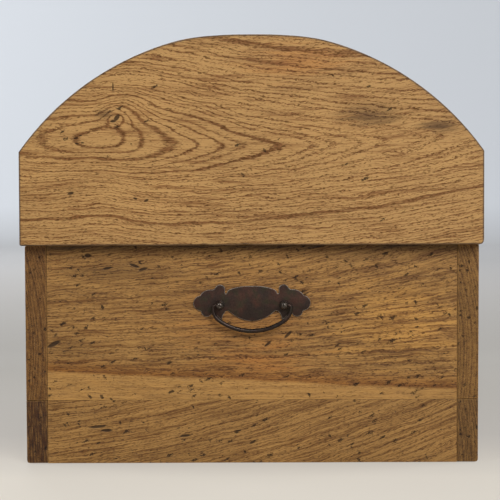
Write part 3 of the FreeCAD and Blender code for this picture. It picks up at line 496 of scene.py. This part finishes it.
    # Fibres are long streaks, and open pores are dark dashes, most of them in the porous bands.
    streak = noise(tree, flow, (34, 1.1, 1.1), seed, detail=2.5, roughness=0.68)
    fibre = noise(tree, flow, (70, 4.5, 4.5), seed)
    dash = noise(tree, flow, (3.4, 0.72, 0.72), seed, detail=0.6)
    need = ranged(tree, porous, start=0.60, finish=0.60 - 0.20 * contrast)
    pores = ranged(tree, calc(tree, "SUBTRACT", dash, need), 0.0, 0.14)
    amount = calc(tree, "MULTIPLY_ADD", porous, 1.25 * contrast, 0.34 - 0.36 * contrast)
    amount = calc(tree, "MULTIPLY_ADD", streak, 2.8 * streaks, amount)
    amount = calc(tree, "MULTIPLY_ADD", fibre, 1.5 * streaks, amount)
    amount = calc(tree, "SUBTRACT", amount, 2.05 * streaks, use_clamp=True)
    colour = mixed(tree, amount, late, early)
    deep = calc(tree, "MULTIPLY", pores, 0.66, use_clamp=True)
    colour = mixed(tree, deep, colour, pore)
    if band:
        edge = calc(tree, "SUBTRACT", calc(tree, "MULTIPLY_ADD", u, band[1], band[0]), parts[1])
        edge = calc(tree, "MULTIPLY_ADD", drift, 6.0, edge)
        edge = calc(tree, "MULTIPLY_ADD", ripple, 3.0, edge)
        sap = ranged(tree, edge, 4.0, 7.0)
        brown = calc(tree, "SUBTRACT", ranged(tree, edge, -12.0, 4.0), sap)
        sap = calc(tree, "MULTIPLY", sap, ranged(tree, streak, 0.40, 0.62, 0.0, 0.75))
        colour = mixed(tree, sap, colour, band[2])
        colour = mixed(tree, brown, colour, band[3], blend_type="MULTIPLY")
    for along_bloom, across_bloom, long, high, strength, shade in blooms:
        far = calc(tree, "MULTIPLY_ADD", fibre, 2.2, oval(tree, grain, along_bloom, across_bloom, long, high))
        soft = ranged(tree, far, 1.1, 2.3, strength, 0.0, interpolation_type="SMOOTHSTEP")
        colour = mixed(tree, soft, colour, shade, blend_type="MULTIPLY")
    cloud = noise(tree, grain, (150, 55, 55), seed + 7.3, detail=3.0)
    bright = ranged(tree, cloud, 0.3, 0.7, 1 - tone, 1 + tone)
    colour = scaled(tree, colour, bright)

    # Relief: pores, bruises and the porous bands are low, and fibres stand up.
    height = calc(tree, "MULTIPLY_ADD", streak, 1.2, calc(tree, "MULTIPLY", pores, -0.7))
    height = calc(tree, "MULTIPLY_ADD", porous, -0.3, height)
    bruises, matt = 0.0, pores
    if dents:
        bruises = scattered_marks(tree, grain, -24.0, (11.0, 4.4), 0.24 * dents, 0.46)
        ticks = scattered_marks(tree, grain, 55.0, (8.0, 4.6), 0.10 * dents, 0.44)
        bruises = calc(tree, "MAXIMUM", bruises, ticks)
    for mark in marks:
        far = calc(tree, "MULTIPLY_ADD", ripple, 0.9, oval(tree, grain, *mark))
        bruises = calc(tree, "MAXIMUM", bruises, ranged(tree, far, 1.2, 1.6, 1.0, 0.0))
    if dents or marks:
        colour = mixed(tree, calc(tree, "MULTIPLY", bruises, 0.85), colour, BRUISE)
        height = calc(tree, "MULTIPLY_ADD", bruises, -3.0, height)
        matt = calc(tree, "MAXIMUM", pores, bruises)

    # Ends of the grain drink more stain and wax. Edges are rubbed pale, or darkened where their value is below
    # 0
    # by dirt, and by painted shade in the lid's joints and along its lower edge.
    facing = add(tree, "SeparateXYZ", {"Vector": add(tree, "TexCoord", {}, out="Normal")})
    facing = facing.node.outputs["xyz".index(axes[0])]
    end_grain = ranged(tree, calc(tree, "ABSOLUTE", facing), 0.55, 0.8)
    soaked = ranged(tree, noise(tree, grain, (40, 15, 1.6), seed + 3, detail=3.0), 0.36, 0.58, 0.6)
    end_grain = calc(tree, "MULTIPLY", end_grain, soaked)
    colour = mixed(tree, end_grain, colour, linear(end_shade), blend_type="MULTIPLY")
    worn = add(tree, "Attribute", {}, out="Fac", attribute_name="worn")
    rubbed = calc(tree, "MULTIPLY", worn, 0.35, use_clamp=True)
    dirt_and_shade = calc(tree, "MULTIPLY", worn, -0.75, use_clamp=True)
    colour = mixed(tree, rubbed, colour, late)
    colour = mixed(tree, dirt_and_shade, colour, DIRT_AND_SHADE)

    rough = ranged(tree, matt, start=gloss, finish=gloss + 0.35)
    relief = add(tree, "Bump", {"Height": height, "Strength": 0.6, "Distance": 0.25 * MM})
    shader = add(tree, "BsdfPrincipled", {"Base Color": colour, "Roughness": rough, "Normal": relief,
                                          "Specular IOR Level": 0.28})
    tree.links.new(shader, output.inputs["Surface"])
    return material


def patinated_iron(name, brown, warm, olive, rough=0.5):
    """Old forged iron, oiled and handled: dark brown skin, rusty and olive clouds, and edges rubbed bare to a
    pale grey that is also painted highlight.
    """
    material, tree, output = new_material(name)
    place = vector(tree, "MULTIPLY", add(tree, "TexCoord", {}, out="Object"), (1 / MM,) * 3)
    broad = add(tree, "TexNoise", {"Vector": place, "Scale": 1 / 16, "Detail": 3.0})
    other = add(tree, "TexNoise", {"Vector": place, "Scale": 1 / 9, "Detail": 4.0})
    fine = add(tree, "TexNoise", {"Vector": place, "Scale": 1 / 1.6, "Detail": 3.0, "Roughness": 0.7})
    rust = ranged(tree, broad, 0.42, 0.62)
    green = ranged(tree, other, 0.50, 0.68, finish=0.8)
    colour = mixed(tree, rust, brown, warm)
    colour = mixed(tree, green, colour, olive)
    shade = ranged(tree, fine, 0.3, 0.7, 0.72, 1.25)
    colour = scaled(tree, colour, shade)
    worn = add(tree, "Attribute", {}, out="Fac", attribute_name="worn")
    # Rubbed bare edges, whose pale grey is also painted highlight.
    bare_and_highlight = ranged(tree, calc(tree, "MULTIPLY", worn, fine), 0.25, 0.55, finish=0.9)
    colour = mixed(tree, bare_and_highlight, colour, BARE_IRON_AND_HIGHLIGHT)
    roughness = ranged(tree, other, 0.3, 0.7, rough - 0.1, rough + 0.14)
    dimple = add(tree, "TexNoise", {"Vector": place, "Scale": 1 / 5, "Detail": 1.0})
    height = calc(tree, "MULTIPLY_ADD", fine, 0.25, dimple)
    relief = add(tree, "Bump", {"Height": height, "Strength": 0.5, "Distance": 0.5 * MM})
    shader = add(tree, "BsdfPrincipled", {"Base Color": colour, "Roughness": roughness, "Metallic": 0.75,
                                          "Normal": relief})
    tree.links.new(shader, output.inputs["Surface"])
    return material


def lid_oak(name, shade=1.0, **settings):
    """Paler oak of the lid, in boards that are a little lighter or darker by `shade`."""
    late, early, pore = [(*(shade * part for part in colour[:3]), 1.0)
                         for colour in (LATE_LID, EARLY_LID, PORE_LID)]
    return oak(name, late=late, early=early, pore=pore, **settings)


def box_oak(name, **settings):
    """Browner oak of the box, with a little more sheen."""
    return oak(name, late=LATE_BOX, early=EARLY_BOX, pore=PORE_BOX, gloss=0.42, **settings)


# ---------------------------------------------------------------- boards of the box

IRON = patinated_iron("patinated wrought iron", linear("#2f231d"), linear("#3f281f"), linear("#322e1f"))
GRIPPED_IRON = patinated_iron("wrought iron polished by hands", linear("#2b221e"), linear("#35261f"),
                              linear("#2b2820"), rough=0.30)


def wall_material(wall, rank, seed):
    """Quarter-sawn oak along X: the heart lies far to the front, so that rings stand up on the board's end."""
    height, shift = (120.0, 0.0) if rank == "upper" else (-10.0, 1.7)
    return box_oak(f"waxed oak, {wall} {rank} board", axes="xzy",
                   heart=(-470.0 + 620 * seed, height, WALLS[wall] * WALL_FACE - 330), ring=3.4,
                   cone=(0.0, 60.0, 0.013, 0.010), seed=3.1 * seed + shift, contrast=0.5, fray=1.2,
                   end_shade=END_SHADES[f"{wall}_{rank}"], dents=0.8)


def wall_corners(wall, low, high):
    """Section of one wall board, a little thinner towards the floor."""
    side = WALLS[wall]
    outer = [WALL_FACE - wall_wear(z) for z in (low, high)]
    lower = 2.6 if low < 1 else JOINT_ARRIS
    upper = BOARD_ARRIS if high > GLUE_LINE + 1 else JOINT_ARRIS
    section = [(WALL_INSIDE, low, JOINT_ARRIS), (outer[0], low, lower), (outer[1], high, upper),
               (WALL_INSIDE, high, BOARD_ARRIS if upper > JOINT_ARRIS else JOINT_ARRIS)]
    return mirrored(section, side)


def box_boards():
    """Two boards in each wall and each end, glued edge to edge."""
    spans = {"lower": (0.0, GLUE_LINE), "upper": (GLUE_LINE, BOX_TOP)}
    for number, wall in enumerate(WALLS):
        for rank, (low, high) in spans.items():
            board(f"{wall}_{rank}_board", wall_corners(wall, low, high), -END_FACE, END_FACE,
                  wall_material(wall, rank, number + 0.5), "box_oak", "chest", seed=11 * number + len(rank),
                  arrises=(0.3, 0.3))
    for end, sign in SIDES.items():
        for rank, (low, high) in spans.items():
            corners = [(-WALL_INSIDE, low, 0.15), (WALL_INSIDE, low, 0.15),
                       (WALL_INSIDE, high, 0.15), (-WALL_INSIDE, high, 0.15)]
            span = (END_INSIDE, END_FACE) if sign > 0 else (-END_FACE, -END_INSIDE)
            material = end_upper_oak(end) if rank == "upper" else end_lower_oak(end)
            board(f"{end}_end_{rank}_board", corners, *span, material, "box_oak", "chest", seed=5, sag=0.0)


def end_upper_oak(end):
    """Upper end board: grain that rises to the right over a pale band of sapwood at the joint.

    The left board is another one, with the same lie of the grain and its own streaks.
    """
    own = {"right": {"seed": 0.0, "marks": [
               (45, 139, 3.5, 2.4, 0), (8, 43, 7.5, 2.2, 25), (66, 125, 5, 1.4, 10), (95, 128, 6, 1.6, -20),
               (105, 124, 5, 1.4, 15), (240, 42, 5, 1.5, 40), (262, 52, 5.5, 1.6, 45)]},
           "left": {"seed": 7.7, "marks": [(130, 118, 5, 1.5, 15), (310, 96, 6, 1.5, -10)]}}[end]
    return box_oak(f"waxed oak, {end} end, upper board", axes="yzx", out=SIDES[end],
                   heart=(-223.0, 88.0, END_FACE + 22), ring=3.0, lean=(0.09, 0.0001),
                   fan=(-5.0, 150.0, 0.0), waver=(8.0, 130.0, 40.0), contrast=0.52, streaks=1.3,
                   band=(13.0, -0.0437, linear("#c69552"), linear("#e0c8a6")), dents=1.0,
                   blooms=[(215.0, 70.0, 90.0, 50.0, 0.4, AMBER), (75.0, 122.0, 70.0, 14.0, 0.5, GREY_STAIN),
                           (25.0, 35.0, 45.0, 26.0, 0.35, GREY_STAIN), (223.0, 24.0, 80.0, 16.0, 0.4, AMBER),
                           # The first bloom on the line below is painted light, towards the back, where more
                           # light falls.
                           # The second bloom on the line below is painted shade along the top, under the lid's
                           # overhang.
                           (385.0, 65.0, 80.0, 55.0, 0.8, PAINTED_LIGHT_AT_BACK), (223.0, 152.5, 700.0, 10.0, 0.85, PAINTED_SHADE_UNDER_LID)],
                   **own)


def end_lower_oak(end):
    """Lower end board: grain that rises more steeply to the right."""
    own = {"right": {"seed": 4.4, "marks": [
               (55, 160, 9, 1.5, 5), (64, 156, 6, 1.6, 0), (150, 150, 6, 1.4, 5)]},
           "left": {"seed": 9.3, "marks": [(210, 148, 7, 1.5, 10)]}}[end]
    return box_oak(f"waxed oak, {end} end, lower board", axes="yzx", out=SIDES[end],
                   heart=(-223.0, -120.0, END_FACE + 50), ring=3.0, lean=(0.13, 0.00033),
                   waver=(7.0, 130.0, 40.0), contrast=0.62, streaks=1.3, dents=0.9, **own)


# ---------------------------------------------------------------- lid

def lid_end_oak(end):
    """Arched end with long pointed arches of grain.

    The right end has its heart and a knot near the front. The left one is a calmer board without a knot,
    and its heart lies near the back.
    """
    settings = dict(axes="yzx", out=SIDES[end], ring=3.8, cone=(2.5, 30.0, 0.119, 0.06),
                    lean=(-0.10, 0.00029), pinch=(27.0, 0.6), point=0.75, spread=9.0, band_share=0.30,
                    waver=(8.0, 85.0, 26.0), tone=0.07, contrast=1.04, streaks=1.3, dents=0.08)
    if end == "left":
        return lid_oak("waxed oak, left lid end", heart=(-60.0, 318.0, LID_END_FACE + 21.0), seed=5.2,
                       blooms=[(160.0, 60.0, 60.0, 20.0, 0.5, AMBER)], marks=[(60, -40, 3.0, 1.3, 10)],
                       **settings)
    return lid_oak("waxed oak, right lid end", heart=(-161.0, 353.0, LID_END_FACE + 17.0),
                   knots=[(16.0, 25.0, 12.0, 4.5), (20.0, 38.0, 26.0, 9.5)],
                   blooms=[(4.0, 26.0, 13.0, 8.0, 0.8, GREY_STAIN), (285.0, 24.0, 36.0, 14.0, 0.9, GREY_STAIN),
                           (362.0, 12.0, 24.0, 7.0, 1.0, GREY_STAIN), (210.0, 82.0, 60.0, 20.0, 0.5, AMBER)],
                   marks=[(17, 23, 4.4, 2.2, 55), (13, 19, 3.0, 1.4, 10), (13, 56, 0.8, 5.0, 0),
                          (-22, 4, 2.4, 0.8, 0), (-27, 1, 2.4, 0.9, 10), (-20, -4, 2.0, 0.8, 0),
                          (-26, -5, 2.2, 0.8, -10), (-33, -58, 3.4, 1.5, 15), (36, -64, 2.6, 1.3, -20),
                          (48, -66, 2.8, 1.4, 20)], **settings)


def lid_ends():
    """Arched slabs that cover the ends of rims and staves, rounded and chipped along the lower edge."""
    for end, sign in SIDES.items():
        face = [(-LID_FACE, LID_BOTTOM, 0.6), (LID_FACE, LID_BOTTOM, 4.5), (LID_FACE, RIM_TOP, 0.8),
                *arch(LID_FACE, -LID_FACE, 0.0, 62, 0.0)[1:-1], (-LID_FACE, RIM_TOP, 0.8)]
        span = (STAVE_END, LID_END_FACE) if sign > 0 else (-LID_END_FACE, -STAVE_END)
        arrises = (0.3, 0.9) if sign > 0 else (0.9, 0.3)
        # Every edge is darkened: dirt round the arch, and painted shade along the lower edge, where the lid
        # overhangs the box.
        board(f"lid_end_{end}", face, *span, lid_end_oak(end), "lid_oak", "lid", seed=21 + sign,
              arrises=arrises, sag=0.05, spacing=5.0, dirt_and_shade_above=0.0,
              chips=[(-149.0, LID_BOTTOM, 5, 1.2), (-52.0, LID_BOTTOM, 5, 1.0), (-7.0, LID_BOTTOM, 9, 1.3)])


def lid_staves():
    """Rims, side staves and crown: planed to the arch outside, with fine open lines between them."""
    step = (SPRING_ANGLE - FLAT_ANGLE) / STAVES_PER_SIDE
    inner = 1 - STAVE_THICKNESS / ARCH_RADIUS
    ends = (-STAVE_END, STAVE_END)
    for wall, side in WALLS.items():
        for number in range(STAVES_PER_SIDE):
            low_angle = SPRING_ANGLE - step * number
            low, high = [ARCH_RADIUS * math.sin(angle) for angle in (low_angle, low_angle - step)]
            section = (arch(low, high, PEG_STAND, 8, 0.5)
                       + arch(high * inner, low * inner, STAVE_THICKNESS, 8, 0.3))
            name = f"lid_stave_{wall}_{number + 1}"
            middle = side * (low_angle - step / 2)
            material = stave_oak(name, middle, number + 3.3 * side)
            # Their edges are darkened by dirt, and by painted shade in the joints between staves.
            board(name, mirrored(section, side), *ends, material, "lid_oak", "lid",
                  seed=31 + number + side, sag=0.1, dirt_and_shade_above=LID_BOTTOM)
        drop = (RIM_TOP - ARCH_CENTRE) * (1 - RIM_INSIDE / LID_FACE)
        section = [(RIM_INSIDE, LID_BOTTOM, 0.8), (LID_FACE - PEG_STAND, LID_BOTTOM, 1.2),
                   (LID_FACE - PEG_STAND, RIM_TOP, 0.7), (RIM_INSIDE, RIM_TOP - drop, 0.3)]
        name = f"lid_rim_{wall}"
        material = lid_oak(f"waxed oak, {wall} rim", axes="xzy",
                           heart=(180.0 * side, 300.0, side * (LID_FACE + 40)), ring=4.6,
                           cone=(5.0, 60.0, 0.07, 0.05), seed=side * 2.2, dents=0.4, fray=2.2, contrast=0.8)
        board(name, mirrored(section, side), *ends, material, "lid_oak", "lid", seed=41 + side)
    section = [(-HALF_FLAT * inner, LID_TOP - STAVE_THICKNESS, 0.3),
               (HALF_FLAT * inner, LID_TOP - STAVE_THICKNESS, 0.3),
               *arch(HALF_FLAT, -HALF_FLAT, PEG_STAND, 17, 0.5)]
    # The crown's edges are darkened in the same way: dirt, and painted shade in the joints.
    board("lid_stave_top", section, *ends, stave_oak("lid_stave_top", 0.0, 9.1), "lid_oak", "lid",
          seed=51, sag=0.1, dirt_and_shade_above=LID_BOTTOM)


def stave_oak(name, angle, seed):
    """Oak of one stave, with its heart line beneath the stave's own middle."""
    deep = ARCH_RADIUS - 62 + 28 * math.sin(5 * seed)
    return lid_oak(f"waxed oak, {name.replace('_', ' ')}", axes="xyz",
                   heart=(300.0 * math.sin(3 * seed), deep * math.sin(angle) + 40 * math.sin(7 * seed),
                          ARCH_CENTRE + deep * math.cos(angle)),
                   ring=4.0, cone=(6.0, 70.0, 0.05 + 0.03 * math.sin(seed), 0.05), seed=seed, dents=0.25,
                   contrast=0.7, fray=2.2, shade=0.96 + 0.12 * math.sin(4.1 * seed))


def other_wood():
    """Floor, cleats, rib and pegs: the nodes' own shapes with eased edges."""
    dry = oak("dry sawn oak, floor", axes="xyz", heart=(0.0, 30.0, -20.0),
              late=linear("#b08a5c"), early=linear("#86633c"), pore=linear("#5a4025"), ring=4.4,
              cone=(8.0, 80.0, 0.04, 0.05), gloss=0.66, tone=0.14, contrast=0.7)
    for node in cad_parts:
        if node.startswith(("floor_", "cleat_")):
            eased(node, "chest", "inner_oak", dry, 0.8)
    rib = lid_oak("sawn oak, rib", axes="yzx", heart=(0.0, 300.0, 60.0), ring=4.4)
    eased("lid_rib", "lid", "lid_oak", rib, 1.0)
    peg = oak("oak pegs, end grain", axes="yzx", heart=(3.0, 5.0, 3.0),
              late=linear("#7d5a35"), early=linear("#5d3f22"), pore=linear("#38240f"), ring=2.0,
              end_shade="#f4efe6", waver=(1.0, 20.0, 8.0))
    for node, body in (("front_wall_pegs", "chest"), ("back_wall_pegs", "chest"), ("lid_pegs", "lid")):
        eased(node, body, "peg_oak", peg, 0.5)


# ---------------------------------------------------------------- handles

BALL, NECK = 4.4, 2.4                  # radii of a post's ball head and of the rod beneath it
BOW_RADIUS, PIN_RADIUS = 2.4, 1.65     # the bail's bar at the middle of its bow, and at its pins
# Right half of the plate from its top to its foot: y, z above the handle's centre, and how far the side to
# the next point bulges, as the height of its arc over half its chord. Hollow sides are negative.
PLATE_HALF = [
    (0.0, 20.2, 0.11), (24.6, 16.4, 0.18), (27.4, 12.6, -0.75), (29.3, 12.8, 0.0), (29.3, 18.4, 0.62),
    (39.6, 19.0, -0.30), (43.6, 16.4, 0.26), (55.6, 11.4, -0.50), (57.4, 9.8, 0.80), (57.0, -6.5, -0.50),
    (55.2, -8.2, 0.62), (44.4, -11.0, -0.55), (41.6, -9.8, -0.12), (32.6, -18.0, -0.20), (29.6, -8.6, -0.55),
    (24.0, -8.0, 0.17), (0.0, -18.1, 0.0),
]


def plate_outline():
    """Both halves of the plate as one anticlockwise loop: each side is an arc over its chord."""
    half = np.array(PLATE_HALF)
    runs = []
    for (y0, z0, bulge), (y1, z1, _) in zip(half[:-1], half[1:]):
        share = np.linspace(0, 1, 9 if bulge else 4)[:-1, None]
        start, chord = np.array([y0, z0]), np.array([y1 - y0, z1 - z0])
        turn = 2 * math.atan(abs(bulge)) if bulge else 0
        if turn:
            angle = turn * (2 * share - 1)
            along = 0.5 + np.sin(angle) / (2 * math.sin(turn))
            over = (np.cos(angle) - math.cos(turn)) / (2 * math.sin(turn)) * math.copysign(1, bulge)
        else:
            along, over = share, 0 * share
        runs.append(start + along * chord + over * np.array([-chord[1], chord[0]]))
    right = np.concatenate(runs + [half[-1:, :2]])
    left = right[1:-1][::-1] * (-1, 1)
    return np.concatenate([right, left])[::-1]


def handle(end):
    """Scalloped plate, two ball-headed posts and a drop bail, with washers and nuts inside the chest."""
    sign = SIDES[end]
    name = end + "_handle"
    corners = np.insert(plate_outline() + (0, HANDLE_Z), 2, 0.0, axis=1)
    stations = np.array([(0.0, 0.0), (1.2, 0.0), (1.55, 0.1), (1.82, 0.3), (1.96, 0.6), (2.0, 0.9)])
    rings = np.stack([outline(corners, inset, 90.0)[:, :2] for inset in stations[:, 1]])
    x = np.broadcast_to(sign * (END_FACE + stations[:, 0])[:, None, None], (*rings.shape[:2], 1))
    points = np.concatenate([x, rings], -1)
    # The rim is rubbed bare, and its pale grey is also painted highlight.
    worn = np.repeat([0, 0.3, 1, 1, 0.5, 0.15], rings.shape[1])
    piece(name + "_plate", "_scalloped", points, "chest", IRON, worn)
    angle = np.linspace(math.pi - math.asin(NECK / BALL), 0, 14)
    head = [(BALL * math.sin(a), BAIL_OUT + BALL * math.cos(a)) for a in angle[:-1]]
    foot = corner("right_handle_post_back", 0, "x") - END_FACE
    profile = [(0.4, foot), (2.0, foot), (2.4, foot + 0.5), (2.4, 1.9), (4.9, 1.95), (5.2, 2.2), (5.2, 3.2),
               (4.9, 3.5), (3.4, 3.6), (NECK, 4.1), *head, (0.35, BAIL_OUT + BALL)]
    for place, y in (("front", -POST_Y), ("back", POST_Y)):
        rings = turned(profile, (y, HANDLE_Z), sign, END_FACE)
        # The ball heads are rubbed, and their paler grey is also painted highlight.
        rubbed = np.repeat([0.0] * 12 + [0.55] * (len(profile) - 12), rings.shape[1])
        piece(f"{name}_post_{place}", "_turned", rings, "chest", GRIPPED_IRON, rubbed)
    for part in ("washers", "nuts"):
        eased(f"{name}_{part}", "chest", "handle_iron", IRON, 0.4)
    bail(end)


def bail(end):
    """Drop bail: pin, small elbow, short arm, round shoulder and a wide bow, mirrored about the middle.

    The half path is drawn as straight runs joined by arcs that touch them, and the bar is thickest at
    the middle of the bow.
    """
    node = end + "_handle_bail"
    half_width = corner(node, 1, "y") - BOW_RADIUS
    drop = HANDLE_Z - corner(node, 0, "z") - BOW_RADIUS
    elbow, arm, shoulder = 2.6, 3.5, 16.0
    fall, reach = drop - arm, half_width - shoulder
    bow = (reach ** 2 + fall ** 2 - shoulder ** 2) / (2 * (fall - shoulder))
    bow_centre = bow - drop
    meet = math.atan2(reach, bow_centre + arm)
    runs = [np.column_stack([np.linspace(POST_Y - 1, half_width - elbow, 4), np.zeros(4)])]
    turn = np.linspace(math.pi / 2, 0, 6)[1:]
    runs.append(np.column_stack([half_width - elbow + elbow * np.cos(turn), -elbow + elbow * np.sin(turn)]))
    turn = np.linspace(0, -(math.pi / 2 - meet), 9)
    runs.append(np.column_stack([reach + shoulder * np.cos(turn), -arm + shoulder * np.sin(turn)]))
    turn = np.linspace(meet, 0, 19)[1:]
    runs.append(np.column_stack([bow * np.sin(turn), bow_centre - bow * np.cos(turn)]))
    right = np.concatenate(runs)
    path = np.concatenate([right[:-1], (right * (-1, 1))[::-1]])
    reach_out = SIDES[end] * (END_FACE + BAIL_OUT)
    path = np.column_stack([np.full(len(path), reach_out), path[:, 0], path[:, 1] + HANDLE_Z])
    low = np.clip((HANDLE_Z - path[:, 2]) / drop, 0, 1)
    rings = swept(path, PIN_RADIUS + (BOW_RADIUS - PIN_RADIUS) * np.sqrt(low))
    worn = np.repeat(0.1 + 0.15 * low, rings.shape[1])
    piece(node, "_bent", rings, end + "_bail", GRIPPED_IRON, worn)


def hinges():
    """Hinge leaves, pins and nails: the nodes' own shapes with hammered, rounded edges."""
    parts = (("wall_leaf", "chest", 0.6), ("lid_leaf", "lid", 0.6), ("pin", "chest", 0.5))
    for end in SIDES:
        for part, body, width in parts:
            eased(f"{end}_hinge_{part}", body, "hinge_iron", IRON, width)
    eased("wall_leaf_nails", "chest", "hinge_iron", IRON, 0.35)
    eased("lid_leaf_nails", "lid", "hinge_iron", IRON, 0.35)


# ---------------------------------------------------------------- stage, lamps and camera

CAMERA_REACH = 2010.0          # from the lid's end to the camera
CAMERA_HEIGHT = 330.0
AIM = (-1.9, 233.3)            # y and z of the point on the lid's end that the camera looks at
PIXEL_AT_LID = 1.0735          # millimetres of the lid's end in one pixel
RENDER_WIDTH = 500
SENSOR = 36.0
ROLL = -0.20
BACKDROP, BEND = -8000.0, 3500.0       # x of the upright backdrop, and the radius of the bend before it
SWEEP_REACH, SWEEP_HEIGHT = 14000, 6000
# The sweep's tones by z - x, which grows along the floor, round the bend and up the backdrop.
# They are painted light and shade: brightest on the floor just before the chest, darker behind it, and pale up
# the bend and backdrop.
SWEEP_TONES = [(-14000, "#e4ded3"), (-1400, "#eee8dc"), (-580, "#f8f1e5"), (-330, "#d8d4ce"), (100, "#d1cec8"),
               (750, "#bebbb6"), (2200, "#c2c0be"), (3600, "#c0c0c1"), (4600, "#cdced0"), (5600, "#eef2f8"),
               (12000, "#eef2f8")]
SWEEP_GLOW = 0.5               # share of the sweep's own light, seen but not cast on the chest
SWEEP_ALBEDO = 0.5
FLOOR = -0.3                   # just under the chest's feet
ROOM_LIGHT, ROOM_SEEN = 0.125, 0.45    # strength of the world as light, and as what is seen beyond the sweep


def seen_rays(tree):
    """1 for rays that the camera, a reflection or glass sees, and 0 for those that only carry light."""
    path = tree.nodes.new("ShaderNodeLightPath").outputs
    seen = calc(tree, "MAXIMUM", path["Is Camera Ray"], path["Is Glossy Ray"])
    return calc(tree, "MAXIMUM", seen, path["Is Transmission Ray"])


def sweep_material(stops):
    """Matt pale board whose tone, painted light and shade, changes from front to back and up: stops are (z -
    x, colour).

    Seen straight or in a reflection it glows a little, as a board under its own lamps does.
    """
    material, tree, output = new_material("matt pale sweep")
    place = add(tree, "SeparateXYZ", {"Vector": add(tree, "TexCoord", {}, out="Object")}).node.outputs
    path = calc(tree, "SUBTRACT", place["Z"], place["X"])
    low, high = stops[0][0], stops[-1][0]
    share = ranged(tree, path, low * MM, high * MM)
    ramp = tree.nodes.new("ShaderNodeValToRGB")
    tree.links.new(share, ramp.inputs["Fac"])
    while len(ramp.color_ramp.elements) < len(stops):
        ramp.color_ramp.elements.new(0.5)
    for element, (where, shade) in zip(ramp.color_ramp.elements, stops):
        element.position = (where - low) / (high - low)
        element.color = linear(shade)
    paint = scaled(tree, ramp.outputs["Color"], SWEEP_ALBEDO)
    shader = add(tree, "BsdfPrincipled", {"Base Color": paint, "Roughness": 0.9, "Specular IOR Level": 0.2})
    glow = calc(tree, "MULTIPLY", seen_rays(tree), SWEEP_GLOW)
    glowing = add(tree, "Emission", {"Color": ramp.outputs["Color"]})
    tree.links.new(add(tree, "MixShader", {0: glow, 1: shader, 2: glowing}), output.inputs["Surface"])
    return material


def sweep():
    """Floor and backdrop in one: level, then a quarter circle up, then upright, drawn out along Y."""
    angle = np.linspace(0, math.pi / 2, 25)
    bend = zip(BACKDROP + BEND - BEND * np.sin(angle), FLOOR + BEND - BEND * np.cos(angle))
    profile = [(SWEEP_REACH, FLOOR), *bend, (BACKDROP, SWEEP_HEIGHT)]
    points = [(x * MM, y * MM, z * MM) for y in (-SWEEP_REACH, SWEEP_REACH) for x, z in profile]
    count = len(profile)
    mesh = bpy.data.meshes.new("sweep")
    mesh.from_pydata(points, [], [(i, i + count, i + count + 1, i + 1) for i in range(count - 1)])
    mesh.shade_smooth()
    mesh.materials.append(sweep_material(SWEEP_TONES))
    thing = new_object("sweep", mesh)


def lamp(name, place, aim, size, power, colour=(1.0, 1.0, 1.0)):
    """A soft square lamp at one point, turned towards another, in millimetres."""
    light = bpy.data.lights.new(name, "AREA")
    light.size, light.energy, light.color = size * MM, power, colour
    thing = new_object(name, light)
    thing.location = Vector(place) * MM
    thing.rotation_euler = (Vector(aim) - Vector(place)).to_track_quat("-Z", "Y").to_euler()
    thing.visible_camera = False


def stage_and_lamps():
    """The sweep, a key light from the upper right, lamps for the sides and the far end, and a pale room."""
    sweep()
    lamp("key", (3300, 1100, 1900), (500, 0, 230), 1700, 85)
    lamp("small light, upper left", (2300, -1700, 1700), (500, 0, 200), 400, 15)
    lamp("front side", (-700, -3700, 2000), (0, 0, 230), 2000, 95)
    lamp("back side", (-700, 3700, 2000), (0, 0, 230), 2000, 95)
    lamp("left end", (-3700, -700, 2000), (-500, 0, 230), 1800, 85)
    lamp("wall wash", (-4500, -3600, 3600), (BACKDROP, -500, 1200), 2500, 260, (0.92, 0.96, 1.0))
    world = bpy.data.worlds.new("pale room")
    world.use_nodes = True
    tree = world.node_tree
    seen = seen_rays(tree)
    strength = ranged(tree, seen, start=ROOM_LIGHT, finish=ROOM_SEEN)
    tree.nodes["Background"].inputs["Color"].default_value = (0.93, 0.96, 1.0, 1)
    tree.links.new(strength, tree.nodes["Background"].inputs["Strength"])
    bpy.context.scene.world = world
    bpy.context.scene.view_settings.view_transform = "Standard"


def camera():
    """A long lens on the chest's right end, a little above the box and tilted down to it."""
    lens = bpy.data.cameras.new("camera")
    lens.sensor_width = SENSOR
    lens.lens = CAMERA_REACH / PIXEL_AT_LID * SENSOR / RENDER_WIDTH
    lens.clip_end = 50
    eye = Vector((LID_END_FACE + CAMERA_REACH, 0.0, CAMERA_HEIGHT)) * MM
    target = Vector((LID_END_FACE, *AIM)) * MM
    thing = new_object("camera", lens)
    gaze = (target - eye).to_track_quat("-Z", "Y").to_matrix().to_4x4()
    thing.matrix_world = Matrix.Translation(eye) @ gaze @ Matrix.Rotation(math.radians(ROLL), 4, "Z")
    bpy.context.scene.camera = thing


camera()
stage_and_lamps()
box_boards()
lid_ends()
lid_staves()
other_wood()
for chest_end in SIDES:
    handle(chest_end)
hinges()
